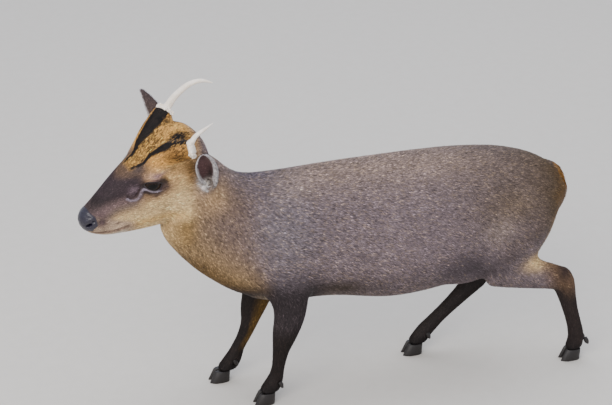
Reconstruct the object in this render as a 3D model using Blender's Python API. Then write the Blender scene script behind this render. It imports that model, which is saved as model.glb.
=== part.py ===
"""A Reeves's muntjac buck at life size, walking with its head a little turned to its left.

The animal walks towards -X, its left side is -Y and +Z is up. The floor is z = 0.
Tables are in centimetres, and one function turns them into metres.
"""
import math

import bmesh
import bpy
import numpy as np
from mathutils import Matrix, Vector

CM = 0.01
GAP = 0.0003
# Each side of the head, with the sign of its place along the head's own left
SIDES = (("left", 1), ("right", -1))

# Driving sizes of the animal, in centimetres
SHOULDER_HEIGHT = 43.0
TRUNK_WIDTH = 16.6
HOOF_HEIGHT = 2.2
HOOF_LENGTH = 3.7
EYE_RADIUS = 1.7
EAR_HALF_WIDTH = 2.5
BURR_RADIUS = 1.55
ANTLER_RADIUS = 0.72
TAIL_LENGTH = 11.0

# How the head is carried: between the ear holes, and its turns in degrees
HEAD_AT = (-22.1, -4.0, 46.5)
HEAD_ROLL, HEAD_PITCH, HEAD_YAW = 12.7, -14.9, 14.0

# How fine the solids are
VOXEL = 0.0032
BLEND_STEPS = 70
LEG_BLEND, HEAD_BLEND = 0.10, 0.24
REGION_TRIANGLES = {"trunk": 1840, "legs": 1940, "head": 2300}
RING_POINTS = 24
BURR_POINTS = 16

COAT = ("coat", (0.19, 0.13, 0.10), 0.85, 0.0)
GOLD = ("golden_coat", (0.38, 0.20, 0.07), 0.85, 0.0)
DARK = ("dark_leg_coat", (0.03, 0.02, 0.016), 0.8, 0.0)
HORN = ("hoof_horn", (0.02, 0.016, 0.014), 0.4, 0.0)
ANTLER = ("antler_bone", (0.62, 0.53, 0.45), 0.55, 0.0)
EYE = ("eye_dark", (0.01, 0.007, 0.005), 0.05, 0.0)
NOSE = ("nose_leather", (0.04, 0.04, 0.05), 0.25, 0.0)


def metres(*point):
    """A point or size in centimetres as a vector in metres."""
    return Vector(point) * CM


def head_turn():
    """The turn that carries the head's own axes (forward, left, up) into the row frame."""
    roll = Matrix.Rotation(math.radians(HEAD_ROLL), 3, "X")
    pitch = Matrix.Rotation(math.radians(HEAD_PITCH), 3, "Y")
    yaw = Matrix.Rotation(math.radians(HEAD_YAW), 3, "Z")
    facing = Matrix.Diagonal((-1, -1, 1))
    return yaw @ pitch @ roll @ facing


HEAD_TURN = head_turn()


def in_head(forward, left, up):
    """A place named on the head, in centimetres from the middle of the ear holes."""
    return metres(*HEAD_AT) + HEAD_TURN @ metres(forward, left, up)


def head_way(forward, left, up):
    return (HEAD_TURN @ Vector((forward, left, up))).normalized()


# Mesh helpers

def new_object(name, bm, material=None):
    bmesh.ops.recalc_face_normals(bm, faces=bm.faces)
    mesh = bpy.data.meshes.new(name)
    bm.to_mesh(mesh)
    bm.free()
    obj = bpy.data.objects.new(name, mesh)
    bpy.context.scene.collection.objects.link(obj)
    if material:
        paint(obj, material)
    return obj


def paint(obj, look):
    name, colour, roughness, metallic = look
    material = bpy.data.materials.get(name)
    if material is None:
        material = bpy.data.materials.new(name)
        material.use_nodes = True
        shader = material.node_tree.nodes["Principled BSDF"]
        shader.inputs["Base Color"].default_value = (*colour, 1)
        shader.inputs["Roughness"].default_value = roughness
        shader.inputs["Metallic"].default_value = metallic
    obj.data.materials.clear()
    obj.data.materials.append(material)


def apply_modifiers(obj):
    graph = bpy.context.evaluated_depsgraph_get()
    made = bpy.data.meshes.new_from_object(obj.evaluated_get(graph))
    obj.modifiers.clear()
    obj.data = made


def remove(*objects):
    for obj in objects:
        bpy.data.objects.remove(obj)


def combine(target, tools, operation):
    """Unions, subtracts or intersects the closed tools with the target, and removes them."""
    group = bpy.data.collections.new("tools")
    for tool in tools:
        group.objects.link(tool)
    cut = target.modifiers.new("combine", "BOOLEAN")
    cut.operation = operation
    cut.solver = "EXACT"
    cut.operand_type = "COLLECTION"
    cut.collection = group
    apply_modifiers(target)
    remove(*tools)
    bpy.data.collections.remove(group)


def copy_of(obj, name):
    twin = obj.copy()
    twin.data = obj.data.copy()
    twin.name = name
    bpy.context.scene.collection.objects.link(twin)
    return twin


def islands(bm):
    """The closed surfaces of a mesh, each as a list of vertices."""
    left = set(bm.verts)
    found = []
    while left:
        stack = [left.pop()]
        island = list(stack)
        while stack:
            for edge in stack.pop().link_edges:
                for vert in edge.verts:
                    if vert in left:
                        left.remove(vert)
                        stack.append(vert)
                        island.append(vert)
        found.append(island)
    return found


def keep_largest(obj):
    """Drops all but the largest closed surface, such as scraps that a cut leaves."""
    bm = bmesh.new()
    bm.from_mesh(obj.data)
    parts = sorted(islands(bm), key=len)
    for scrap in parts[:-1]:
        bmesh.ops.delete(bm, geom=scrap, context="VERTS")
    bm.to_mesh(obj.data)
    bm.free()


def grow(obj, amount):
    """Moves every face out by the amount, or in where it is negative."""
    bm = bmesh.new()
    bm.from_mesh(obj.data)
    bm.normal_update()
    moves = [vert.normal * amount * vert.calc_shell_factor() for vert in bm.verts]
    for vert, move in zip(bm.verts, moves):
        vert.co += move
    bm.to_mesh(obj.data)
    bm.free()
    return obj


# Lofts

def eased(stations, spans=4):
    """Catmull-Rom samples through a table of stations, the same number in each span."""
    table = np.array(stations, float)
    padded = np.vstack([2 * table[0] - table[1], table, 2 * table[-1] - table[-2]])
    out = []
    for i in range(len(table) - 1):
        a, b, c, d = padded[i:i + 4]
        for t in np.arange(spans) / spans:
            out.append(0.5 * (2 * b + (c - a) * t + (2 * a - 5 * b + 4 * c - d) * t ** 2
                              + (3 * b - a - 3 * c + d) * t ** 3))
    out.append(table[-1])
    return np.array(out)


def ring(centre, side, up, egg=0.0, power=2.2, points=RING_POINTS):
    """An oval of points: egg above 0 makes its lower half wider than its upper half."""
    made = []
    for k in range(points):
        angle = 2 * math.pi * k / points
        c, s = math.cos(angle), math.sin(angle)
        across = math.copysign(abs(c) ** (2 / power), c) * (1 - egg * s)
        along = math.copysign(abs(s) ** (2 / power), s)
        made.append(centre + side * across + up * along)
    return made


def loft(name, rings, material=None):
    """A closed tube through rings of equal count, with a flat fan on each end."""
    bm = bmesh.new()
    loops = [[bm.verts.new(p) for p in points] for points in rings]
    for low, high in zip(loops, loops[1:]):
        for k in range(len(low)):
            n = (k + 1) % len(low)
            bm.faces.new((low[k], low[n], high[n], high[k]))
    for loop in (loops[0], loops[-1]):
        bmesh.ops.contextual_create(bm, geom=loop + [loop[0].link_edges[0]])
        if not any(set(loop) == set(f.verts) for f in bm.faces):
            bm.faces.new(loop)
    bmesh.ops.triangulate(bm, faces=[f for f in bm.faces if len(f.verts) > 4])
    return new_object(name, bm, material)


def profile_tube(name, stations, spans=4):
    """A tube whose stations give its outline: top x, z, bottom x, z, middle y, half width, egg."""
    rings = []
    for top_x, top_z, low_x, low_z, y, half_width, egg in eased(stations, spans):
        top, low = metres(top_x, y, top_z), metres(low_x, y, low_z)
        rings.append(ring((top + low) / 2, metres(0, half_width, 0), (top - low) / 2, egg))
    return loft(name, rings)


def limb_tube(name, stations, spans=4):
    """A leg's tube: middle x, y, z, half depth fore and aft, half width across."""
    table = eased(stations, spans)
    rings = []
    for i, (x, y, z, depth, width) in enumerate(table):
        ahead = Vector(table[min(i + 1, len(table) - 1)][:3] - table[max(i - 1, 0)][:3]).normalized()
        side = Vector((0, 1, 0))
        side = (side - ahead * side.dot(ahead)).normalized()
        rings.append(ring(metres(x, y, z), side * width * CM, ahead.cross(side) * depth * CM, power=2.0))
    return loft(name, rings)


def way_tube(name, points, radii, flat=1.0, count=12, spans=4, material=None):
    """A round or flattened tube along points in metres, as for an antler or a tail."""
    table = eased([(*p, r) for p, r in zip(points, radii)], spans)
    rings = []
    side = None
    for i, row in enumerate(table):
        ahead = Vector(table[min(i + 1, len(table) - 1)][:3] - table[max(i - 1, 0)][:3]).normalized()
        if side is None:
            side = ahead.orthogonal() if flat == 1.0 else Vector((0, 1, 0))
        side = (side - ahead * side.dot(ahead)).normalized()
        rings.append(ring(Vector(row[:3]), side * row[3], ahead.cross(side) * row[3] * flat,
                          power=2.0, points=count))
    return loft(name, rings, material)


def ball(name, centre, radii, turn=None, detail=16, material=None):
    """An ellipsoid with the radii in metres along the turn's axes."""
    bm = bmesh.new()
    bmesh.ops.create_uvsphere(bm, u_segments=detail, v_segments=detail // 2 + 2, radius=1)
    place = Matrix.Translation(centre) @ (turn.to_4x4() if turn else Matrix.Identity(4))
    bmesh.ops.transform(bm, verts=bm.verts, matrix=place @ Matrix.Diagonal((*radii, 1)))
    return new_object(name, bm, material)


def slab(name, centre, normal, half_u, half_v, thickness=GAP, upright=(0, 0, 1)):
    """A thin box that parts what it crosses."""
    normal = Vector(normal).normalized()
    u = Vector(upright).cross(normal).normalized()
    frame = Matrix((u, normal.cross(u), normal)).transposed().to_4x4()
    bm = bmesh.new()
    bmesh.ops.create_cube(bm, size=2)
    size = Matrix.Diagonal((half_u, half_v, thickness / 2, 1))
    bmesh.ops.transform(bm, verts=bm.verts, matrix=Matrix.Translation(centre) @ frame @ size)
    return new_object(name, bm)


def prism(name, outline, inner, outer):
    """The outline in x and z, in centimetres, drawn out sideways from inner to outer y."""
    bm = bmesh.new()
    near = [bm.verts.new(metres(x, inner, z)) for x, z in outline]
    face = bm.faces.new(near)
    moved = bmesh.ops.extrude_face_region(bm, geom=[face])
    far = [v for v in moved["geom"] if isinstance(v, bmesh.types.BMVert)]
    bmesh.ops.translate(bm, verts=far, vec=metres(0, outer - inner, 0))
    return new_object(name, bm)


# The body's forms

BACK = SHOULDER_HEIGHT
HALF = TRUNK_WIDTH / 2
# Top x, z, bottom x, z, middle y, half width, egg
TRUNK = (
    (-13.5, 34.0, -13.0, 25.0, 0, 0.45 * HALF, 0.0),
    (-11.0, 40.5, -11.5, 19.6, 0, 0.70 * HALF, 0.0),
    (-5.0, BACK - 0.6, -6.0, 17.8, 0, 0.80 * HALF, 0.05),
    (4.0, BACK, 4.0, 17.6, 0, 0.89 * HALF, 0.12),
    (14.0, BACK + 0.2, 14.0, 16.2, 0, 1.02 * HALF, 0.16),
    (22.0, BACK + 0.2, 22.0, 16.6, 0, 1.06 * HALF, 0.13),
    (29.0, BACK - 0.1, 28.0, 17.9, 0, 1.02 * HALF, 0.05),
    (36.5, BACK - 1.1, 35.0, 21.2, 0, 0.94 * HALF, 0.0),
    (43.2, 39.6, 42.0, 25.5, 0, 0.78 * HALF, 0.0),
    (47.3, 36.3, 46.4, 28.5, 0, 0.5 * HALF, 0.0),
    (48.8, 33.2, 48.6, 31.0, 0, 0.22 * HALF, 0.0),
)
NECK = (
    (2.0, BACK - 1.2, -5.0, 20.0, 0.0, 7.6, 0.05),
    (-4.5, BACK - 0.6, -12.2, 20.0, 0.0, 7.4, 0.05),
    (-10.0, BACK - 0.3, -18.2, 24.0, -0.5, 6.6, 0.05),
    (-13.2, 44.2, -22.3, 28.1, -1.5, 5.9, 0.0),
    (-15.8, 46.8, -25.3, 32.3, -2.8, 5.3, 0.0),
    (-18.4, 49.2, -26.8, 36.2, -3.8, 4.6, 0.0),
)
# Along the head from the ear holes: forward, top, bottom, half width, egg
HEAD = (
    (-3.8, 5.8, -3.0, 3.2, 0.0),
    (-2.0, 8.6, -5.2, 4.1, 0.05),
    (0.6, 9.7, -6.6, 4.4, 0.02),
    (3.5, 9.0, -7.2, 4.3, 0.0),
    (6.0, 8.3, -7.4, 4.1, 0.02),
    (8.5, 7.6, -7.1, 3.8, 0.04),
    (11.0, 6.6, -6.5, 3.3, 0.04),
    (13.5, 5.3, -5.8, 2.8, 0.04),
    (16.0, 3.7, -4.8, 2.4, 0.04),
    (18.2, 2.35, -3.6, 2.05, 0.0),
    (19.8, 1.7, -2.3, 1.6, 0.0),
    (20.6, 0.8, -1.1, 0.8, 0.0),
)
# Fore leg and hind leg: half depth and half width at each station, from the top down
FORE_SIZES = ((4.6, 2.7), (4.0, 2.4), (3.1, 2.0), (2.3, 1.65), (1.62, 1.45), (1.35, 1.2), (1.32, 1.12),
              (1.62, 1.4), (1.6, 1.45), (1.45, 1.5))
THIGH_SIZES = ((6.4, 4.4), (7.6, 4.6), (7.0, 4.2), (4.6, 3.3))
SHANK_SIZES = ((3.6, 2.6), (3.5, 2.5), (3.0, 2.0), (2.5, 1.6), (1.9, 1.45), (1.55, 1.25), (1.48, 1.2),
               (1.62, 1.4), (1.6, 1.45), (1.45, 1.5))
# Middle x, y, z of the same stations on each leg, from the top down
FORE_LEFT = ((-7.0, -5.0, 27.0), (-4.8, -5.6, 21.6), (-4.6, -5.8, 17.6), (-5.6, -5.8, 13.2),
             (-6.2, -5.7, 10.5), (-6.5, -5.5, 8.2), (-6.8, -5.3, 6.0), (-7.3, -5.2, 4.1),
             (-8.3, -5.2, 2.6), (-9.0, -5.2, 1.6))
FORE_RIGHT = ((-7.0, 5.0, 27.0), (-6.4, 5.6, 21.6), (-7.4, 5.5, 17.0), (-8.6, 5.2, 13.2),
              (-9.3, 4.9, 10.8), (-10.3, 4.8, 8.4), (-11.5, 4.7, 6.2), (-12.3, 4.7, 4.3),
              (-13.5, 4.7, 2.7), (-14.3, 4.7, 1.6))
THIGH_LEFT = ((40.6, -3.4, 35.5), (37.9, -4.2, 30.0), (34.6, -4.9, 24.8), (33.3, -5.6, 21.0))
THIGH_RIGHT = ((41.0, 3.4, 35.5), (37.5, 4.2, 30.5), (33.5, 4.9, 26.0), (29.5, 5.4, 22.6))
SHANK_LEFT = ((32.5, -5.8, 21.2), (37.0, -5.9, 20.2), (42.0, -5.9, 18.8), (46.3, -5.8, 17.2),
              (47.6, -5.6, 14.2), (48.6, -5.4, 10.8), (49.6, -5.3, 7.6), (50.3, -5.2, 4.4),
              (49.9, -5.2, 2.7), (49.5, -5.2, 1.6))
SHANK_RIGHT = ((28.0, 5.4, 23.0), (30.8, 5.4, 19.8), (33.2, 5.2, 16.6), (34.4, 5.0, 14.4),
               (32.2, 4.8, 12.0), (29.2, 4.7, 9.2), (26.6, 4.7, 6.8), (24.2, 4.7, 4.4),
               (22.9, 4.7, 2.7), (22.1, 4.7, 1.6))
# Where each foot stands: toe x, y
FEET = {
    "fore_left": (-11.2, -5.2),
    "fore_right": (-17.0, 4.7),
    "hind_left": (47.2, -5.2),
    "hind_right": (19.8, 4.7),
}
PEDICLES = {
    "left": ((7.4, 1.9, 5.2), (4.0, 3.2, 7.8), (0.76, 4.96, 8.36)),
    "right": ((7.3, 1.7, 5.2), (3.6, 2.9, 7.9), (-0.1, 4.7, 9.4)),
}
PEDICLE_RADII = (2.0, 2.1, 1.75, 1.6)
EAR_ROOT, EAR_TIP, EAR_MOUTH = (-2.1, 4.3, -2.7), (0.9, 10.6, 11.0), (0.5, 0.8, 0.05)
# Along the ear: place from root to tip, half width laid flat, half roll in degrees, wall
EAR_ROWS = (
    (0.10, 0.64 * EAR_HALF_WIDTH, 144, 0.42),
    (0.18, 0.74 * EAR_HALF_WIDTH, 132, 0.38),
    (0.30, 0.90 * EAR_HALF_WIDTH, 112, 0.34),
    (0.48, EAR_HALF_WIDTH, 92, 0.30),
    (0.66, 0.92 * EAR_HALF_WIDTH, 76, 0.27),
    (0.82, 0.60 * EAR_HALF_WIDTH, 62, 0.24),
    (0.94, 0.30 * EAR_HALF_WIDTH, 52, 0.20),
    (1.00, 0.09 * EAR_HALF_WIDTH, 50, 0.16),
)
EYE_AT = (7.5, 2.7, 3.6)
EYE_WAY = (0.30, 0.93, 0.12)


# Steps of each antler's beam from its seat: forward, inward below 0, up
ANTLER_STEPS = {
    "left": ((-0.9, -0.2, 1.1), (-1.7, -0.3, 1.7), (-2.7, -0.3, 2.0), (-4.1, -0.7, 1.9), (-5.8, -1.6, 1.4)),
    "right": ((-0.9, 0.0, 0.8), (-2.7, -0.2, 2.4), (-5.1, -0.7, 3.7), (-7.1, -1.4, 3.9), (-8.9, -2.1, 2.9)),
}


def head_tube():
    rings = []
    for forward, top, low, half_width, egg in eased(HEAD):
        centre = in_head(forward, 0, (top + low) / 2)
        side = HEAD_TURN @ metres(0, half_width, 0)
        up = HEAD_TURN @ metres(0, 0, (top - low) / 2)
        rings.append(ring(centre, side, up, egg, power=2.6))
    return loft("head_form", rings)


def joined(places, sizes):
    return [(*place, *size) for place, size in zip(places, sizes)]


def pedicle_line(side, sign):
    return [in_head(x, sign * y, z) for x, y, z in PEDICLES[side]]


def flesh_forms():
    """The overlapping forms that blend into one body."""
    forms = [profile_tube("trunk", TRUNK), profile_tube("neck_form", NECK), head_tube()]
    for name, places in (("fore_l", FORE_LEFT), ("fore_r", FORE_RIGHT)):
        forms.append(limb_tube(name, joined(places, FORE_SIZES)))
    for name, places in (("thigh_l", THIGH_LEFT), ("thigh_r", THIGH_RIGHT)):
        forms.append(limb_tube(name, joined(places, THIGH_SIZES)))
    for name, places in (("shank_l", SHANK_LEFT), ("shank_r", SHANK_RIGHT)):
        forms.append(limb_tube(name, joined(places, SHANK_SIZES)))
    for sign in (-1, 1):
        # The shoulder blade's muscles
        forms.append(ball("shoulder", metres(-4.0, sign * 4.2, 31.0), metres(8.0, 3.7, 10.0)))
        # The fold of the flank, from the belly to the knee
        forms.append(ball("flank_fold", metres(27.4, sign * 5.0, 22.5), metres(7.4, 2.4, 4.3)))
        # The heel's string above the hock
        heel = SHANK_LEFT if sign < 0 else SHANK_RIGHT
        hock, above = metres(*heel[3]), metres(*heel[2])
        back = (hock - above).normalized()
        out = Vector((-back.z, 0, back.x))
        out = out if out.x > 0 else -out
        forms.append(ball("heel", hock + out * 0.012 + back * 0.004, metres(1.5, 1.2, 1.7)))
    for name, sign in SIDES:
        root, middle, end = pedicle_line(name, sign)
        beyond = end + (end - middle).normalized() * 0.015
        radii = [radius * CM for radius in PEDICLE_RADII]
        forms.append(way_tube("pedicle_" + name, (root, middle, end, beyond), radii))
        # The brow over the eye and the lids round it
        eye = in_head(EYE_AT[0], sign * EYE_AT[1], EYE_AT[2])
        forms.append(ball("lids_" + name, eye, (0.0205, 0.0205, 0.0195)))
        # The root of the ear
        low, high = in_head(-1.2, sign * 2.4, -1.6), ear_axis(0.17, sign)
        forms.append(way_tube("ear_root_" + name, (low, low.lerp(high, 0.5), high), (0.028, 0.023, 0.0155)))
        # The cheek's muscle, the flare of the nostril and the chin
        cheek = in_head(3.6, sign * 2.5, -2.6)
        forms.append(ball("cheek_" + name, cheek, (0.036, 0.022, 0.034)))
        flare = in_head(18.6, sign * 1.3, -0.2)
        forms.append(ball("flare_" + name, flare, (0.0095, 0.0080, 0.0095)))
        lip_points = ((12.2, 2.35, -3.3), (15.0, 2.0, -3.2), (18.2, 1.1, -2.5))
        lip = [in_head(x, sign * y, z) for x, y, z in lip_points]
        forms.append(way_tube("lip_" + name, lip, (0.0070, 0.0085, 0.0070)))
    return forms


def settle(points, edges, steps, share):
    """Moves each point towards the mean of its neighbours, by its own share at each step."""
    first, second = edges.T
    count = np.bincount(edges.ravel(), minlength=len(points))
    for _ in range(steps):
        for axis in range(3):
            value = points[:, axis]
            total = np.bincount(first, value[second], len(points))
            total += np.bincount(second, value[first], len(points))
            points[:, axis] = value + share * (total / count - value)
    return points


def between(value, low, high):
    """0 below the low end, 1 above the high end, and an even ease in between."""
    t = np.clip((value - low) / (high - low), 0, 1)
    return t * t * (3 - 2 * t)


def calm(points):
    """How strongly each place is blended: the trunk most, the legs and the head little."""
    from_head = np.linalg.norm(points - np.array(in_head(6.0, 0, 1.5)), axis=1)
    trunk = between(points[:, 2], 0.165, 0.235)
    share = LEG_BLEND + (1 - LEG_BLEND) * trunk
    keep = between(from_head, 0.12, 0.165)
    return 0.5 * (HEAD_BLEND + (share - HEAD_BLEND) * keep)


def blended(forms):
    """One smooth closed body made from the forms."""
    body = forms[0]
    bm = bmesh.new()
    for form in forms:
        bm.from_mesh(form.data)
    bm.to_mesh(body.data)
    bm.free()
    remove(*forms[1:])
    body.name = "body"
    voxels = body.modifiers.new("voxels", "REMESH")
    voxels.mode = "VOXEL"
    voxels.voxel_size = VOXEL
    apply_modifiers(body)
    keep_largest(body)
    mesh = body.data
    edges = np.empty(2 * len(mesh.edges), np.int32)
    mesh.edges.foreach_get("vertices", edges)
    points = corners_of(mesh)
    points = settle(points, edges.reshape(-1, 2), BLEND_STEPS, calm(points))
    mesh.vertices.foreach_set("co", points.astype(np.float32).ravel())
    mesh.update()
    thin_out(body)
    return body


def corners_of(mesh):
    points = np.empty(3 * len(mesh.vertices), np.float32)
    mesh.vertices.foreach_get("co", points)
    return points.reshape(-1, 3).astype(float)


def thin_out(body):
    """Fewer triangles: each region in turn is thinned to its own count."""
    middle = np.array(in_head(8.5, 0, 1.5))
    for region, wanted in REGION_TRIANGLES.items():
        points = corners_of(body.data)
        at_head = np.linalg.norm(points - middle, axis=1) < 0.135
        at_legs = ~at_head & (points[:, 2] < 0.205)
        inside = {"head": at_head, "legs": at_legs, "trunk": ~at_head & ~at_legs}[region]
        group = body.vertex_groups.new(name=region)
        for index in np.flatnonzero(inside):
            group.add([int(index)], 1.0, "REPLACE")
        faces = np.array([face.vertices[:] for face in triangles_of(body)])
        held = len(faces)
        within = int(inside[faces].all(1).sum())
        fewer = body.modifiers.new("fewer", "DECIMATE")
        fewer.ratio = (held - within + wanted) / held
        fewer.use_collapse_triangulate = True
        fewer.vertex_group = region
        fewer.vertex_group_factor = 1000
        apply_modifiers(body)
        body.vertex_groups.clear()


def triangles_of(obj):
    obj.data.calc_loop_triangles()
    return obj.data.loop_triangles


# Pieces that are added to the blended body

def ear_axis(t, sign):
    """A place on the ear's axis, from 0 at its root to 1 at its tip."""
    root = in_head(EAR_ROOT[0], sign * EAR_ROOT[1], EAR_ROOT[2])
    tip = in_head(EAR_TIP[0], sign * EAR_TIP[1], EAR_TIP[2])
    return root.lerp(tip, t)


def ear_ways(sign):
    """The ear's own directions: to the tip, out of the mouth of the cup, and across it."""
    tip = (ear_axis(1, sign) - ear_axis(0, sign)).normalized()
    mouth = head_way(EAR_MOUTH[0], sign * EAR_MOUTH[1], EAR_MOUTH[2])
    mouth = (mouth - tip * mouth.dot(tip)).normalized()
    return tip, mouth, tip.cross(mouth)


def ear_cup(side, sign):
    """An ear as a leaf rolled into a cup: a tube at its root that opens towards its tip."""
    tip, mouth, across = ear_ways(sign)
    columns = 8
    table = eased(EAR_ROWS, 2)
    bm = bmesh.new()
    inner, outer = [], []
    for t, half, roll, wall in table:
        radius = half / math.radians(roll)
        lines = ([], [])
        for j in range(columns + 1):
            angle = math.radians(roll) * (2 * j / columns - 1)
            half_wall = wall / 2 * (1 - 0.4 * abs(2 * j / columns - 1) ** 3)
            for line, reach in zip(lines, (radius - half_wall, radius + half_wall)):
                offset = across * math.sin(angle) * reach - mouth * math.cos(angle) * reach
                line.append(bm.verts.new(ear_axis(t, sign) + (offset + mouth * radius * 0.35) * CM))
        inner.append(lines[0])
        outer.append(lines[1])
    for low, high in zip(range(len(table) - 1), range(1, len(table))):
        for j in range(columns):
            bm.faces.new((inner[low][j], inner[low][j + 1], inner[high][j + 1], inner[high][j]))
            bm.faces.new((outer[low][j + 1], outer[low][j], outer[high][j], outer[high][j + 1]))
        for j in (0, columns):
            ends = (outer[low][j], inner[low][j], inner[high][j], outer[high][j])
            bm.faces.new(ends if j == 0 else ends[::-1])
    for row in (0, -1):
        for j in range(columns):
            ends = (inner[row][j], inner[row][j + 1], outer[row][j + 1], outer[row][j])
            bm.faces.new(ends[::-1] if row == 0 else ends)
    bmesh.ops.triangulate(bm, faces=bm.faces)
    return new_object("ear_sheet_" + side, bm)


def ear_bowl(side, sign):
    """The hollow at the foot of the ear's cup."""
    tip, mouth, across = ear_ways(sign)
    turn = Matrix((across, mouth, tip)).transposed()
    centre = ear_axis(0.26, sign) + mouth * 0.004
    return ball("bowl_" + side, centre, (0.0086, 0.0105, 0.0230), turn, detail=12)


def tail_form():
    """A short flat tail that hangs close behind the rump."""
    share = TAIL_LENGTH / 11.0
    root = metres(44.9, 0, 38.0)
    ways = ((0, 0), (1.7, -1.5), (2.6, -4.0), (2.5, -6.9), (1.8, -9.9))
    points = [root + metres(x * share, 0, z * share) for x, z in ways]
    return way_tube("tail_form", points, (0.015, 0.019, 0.021, 0.017, 0.006), flat=0.42, count=10, spans=3)


def hoof(name, foot, sign):
    """One of a foot's two hooves: a flat sole, a sloped toe and a flat top under the skin."""
    toe_x, foot_y = foot
    bm = bmesh.new()
    loops = []
    for share in (0.0, 0.25, 0.6, 1.0):
        length = HOOF_LENGTH * (1 - 0.24 * share)
        width = 1.32 * (1 - 0.10 * share)
        toe = toe_x + 1.05 * share
        loop = []
        for k in range(14):
            angle = 2 * math.pi * k / 14
            c, s = math.cos(angle), math.sin(angle)
            narrow = 1 - 0.42 * max(0.0, -c) ** 2
            x = toe + length * (0.5 + 0.5 * math.copysign(abs(c) ** 0.8, c))
            inner = 0.12 + 0.14 * max(0.0, -c)
            y = foot_y + sign * (inner + width * narrow * (0.5 + 0.5 * s))
            loop.append(bm.verts.new(metres(x, y, share * HOOF_HEIGHT)))
        loops.append(loop)
    for low, high in zip(loops, loops[1:]):
        for k in range(14):
            n = (k + 1) % 14
            bm.faces.new((low[k], low[n], high[n], high[k]))
    bm.faces.new(loops[0])
    bm.faces.new(loops[-1])
    bmesh.ops.triangulate(bm, faces=bm.faces)
    return new_object(name, bm, HORN)


def dewclaw(name, foot, sign):
    """A small hoof behind the fetlock, clear of the floor."""
    toe_x, foot_y = foot
    top = metres(toe_x + 4.55, foot_y + sign * 0.85, 4.3)
    low = metres(toe_x + 5.15, foot_y + sign * 1.05, 3.05)
    return way_tube(name, (top, top.lerp(low, 0.55), low), (0.0042, 0.0048, 0.0020),
                    count=8, spans=1, material=HORN)


def antler(side, sign):
    """The beam on its burr, with a flat seat that faces the pedicle."""
    _, middle, base = pedicle_line(side, sign)
    along = (base - middle).normalized()
    start = base + along * GAP
    points = [start + HEAD_TURN @ metres(x, sign * y, z) for x, y, z in ANTLER_STEPS[side]]
    points.insert(0, start - along * 0.01)
    radii = [ANTLER_RADIUS * CM * share for share in (1.1, 1.0, 0.82, 0.70, 0.50, 0.12)]
    beam = way_tube("antler_" + side, points, radii, count=10, spans=2, material=ANTLER)
    combine(beam, [burr_ring("burr_" + side, start, along)], "UNION")
    seat = slab("seat", start - along * 0.02, along, 0.04, 0.04, thickness=0.04)
    combine(beam, [seat], "DIFFERENCE")
    keep_largest(beam)
    paint(beam, ANTLER)
    return beam


def burr_ring(name, centre, normal):
    """The rough collar at an antler's foot."""
    u = normal.orthogonal().normalized()
    v = normal.cross(u)
    bm = bmesh.new()
    loops = []
    for k in range(BURR_POINTS):
        angle = 2 * math.pi * k / BURR_POINTS
        out = u * math.cos(angle) + v * math.sin(angle)
        bulge = 1 + 0.10 * math.cos(5 * angle) + 0.04 * math.cos(3 * angle + 1)
        loop = []
        for j in range(5):
            turn = 2 * math.pi * j / 5
            reach = BURR_RADIUS * CM * bulge * (0.66 + 0.34 * math.cos(turn))
            loop.append(bm.verts.new(centre + out * reach + normal * (0.0038 + 0.0042 * math.sin(turn))))
        loops.append(loop)
    for k in range(BURR_POINTS):
        low, high = loops[k], loops[(k + 1) % BURR_POINTS]
        for j in range(5):
            n = (j + 1) % 5
            bm.faces.new((low[j], low[n], high[n], high[j]))
    return new_object(name, bm)


# Cuts

MOUTH_CORNER, MOUTH_FRONT = (12.9, -3.5), (21.0, -1.7)
NOSE_PLANE_AT, NOSE_PLANE_WAY = (18.3, 0, 0.45), (1, 0, -0.12)


def mouth_slit():
    """The gap between the closed lips, back to the corner of the mouth."""
    middle = [(a + b) / 2 for a, b in zip(MOUTH_CORNER, MOUTH_FRONT)]
    run = (MOUTH_FRONT[0] - MOUTH_CORNER[0], MOUTH_FRONT[1] - MOUTH_CORNER[1])
    return slab("mouth", in_head(middle[0], 0, middle[1]), head_way(-run[1], 0, run[0]), 0.05,
                math.hypot(*run) / 2 * CM, thickness=0.0008, upright=head_way(run[0], 0, run[1]))


def eye_cutters(side, sign):
    """The socket, and the almond opening between the lids."""
    centre = in_head(EYE_AT[0], sign * EYE_AT[1], EYE_AT[2])
    out = head_way(EYE_WAY[0], sign * EYE_WAY[1], EYE_WAY[2])
    socket = ball("socket", centre, [EYE_RADIUS * CM + GAP] * 3, detail=16)
    along = head_way(1.0, sign * -0.32, -0.05)
    along = (along - out * along.dot(out)).normalized()
    turn = Matrix((along, out.cross(along), out)).transposed()
    opening = ball("opening", centre + out * 0.0175, (0.0188, 0.0074, 0.0118), turn, detail=14)
    return [socket, opening]


def gland_cutter(side, sign):
    """The slit of the scent gland in front of the eye."""
    centre = in_head(11.2, sign * 3.15, 1.9)
    along = head_way(1.0, sign * -0.34, -0.45)
    out = head_way(0.2, sign * 1.0, 0.1)
    out = (out - along * out.dot(along)).normalized()
    turn = Matrix((along, out.cross(along), out)).transposed()
    return ball("gland", centre, (0.0100, 0.0022, 0.0045), turn, detail=12)


def nostril_cutter(side, sign):
    centre = in_head(19.15, sign * 1.3, -0.15)
    along = head_way(0.75, sign * -0.55, -0.32)
    out = head_way(0.45, sign * 0.9, 0.1)
    out = (out - along * out.dot(along)).normalized()
    turn = Matrix((along, out.cross(along), out)).transposed()
    return ball("nostril", centre, (0.0062, 0.0028, 0.0065), turn, detail=12)


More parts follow.
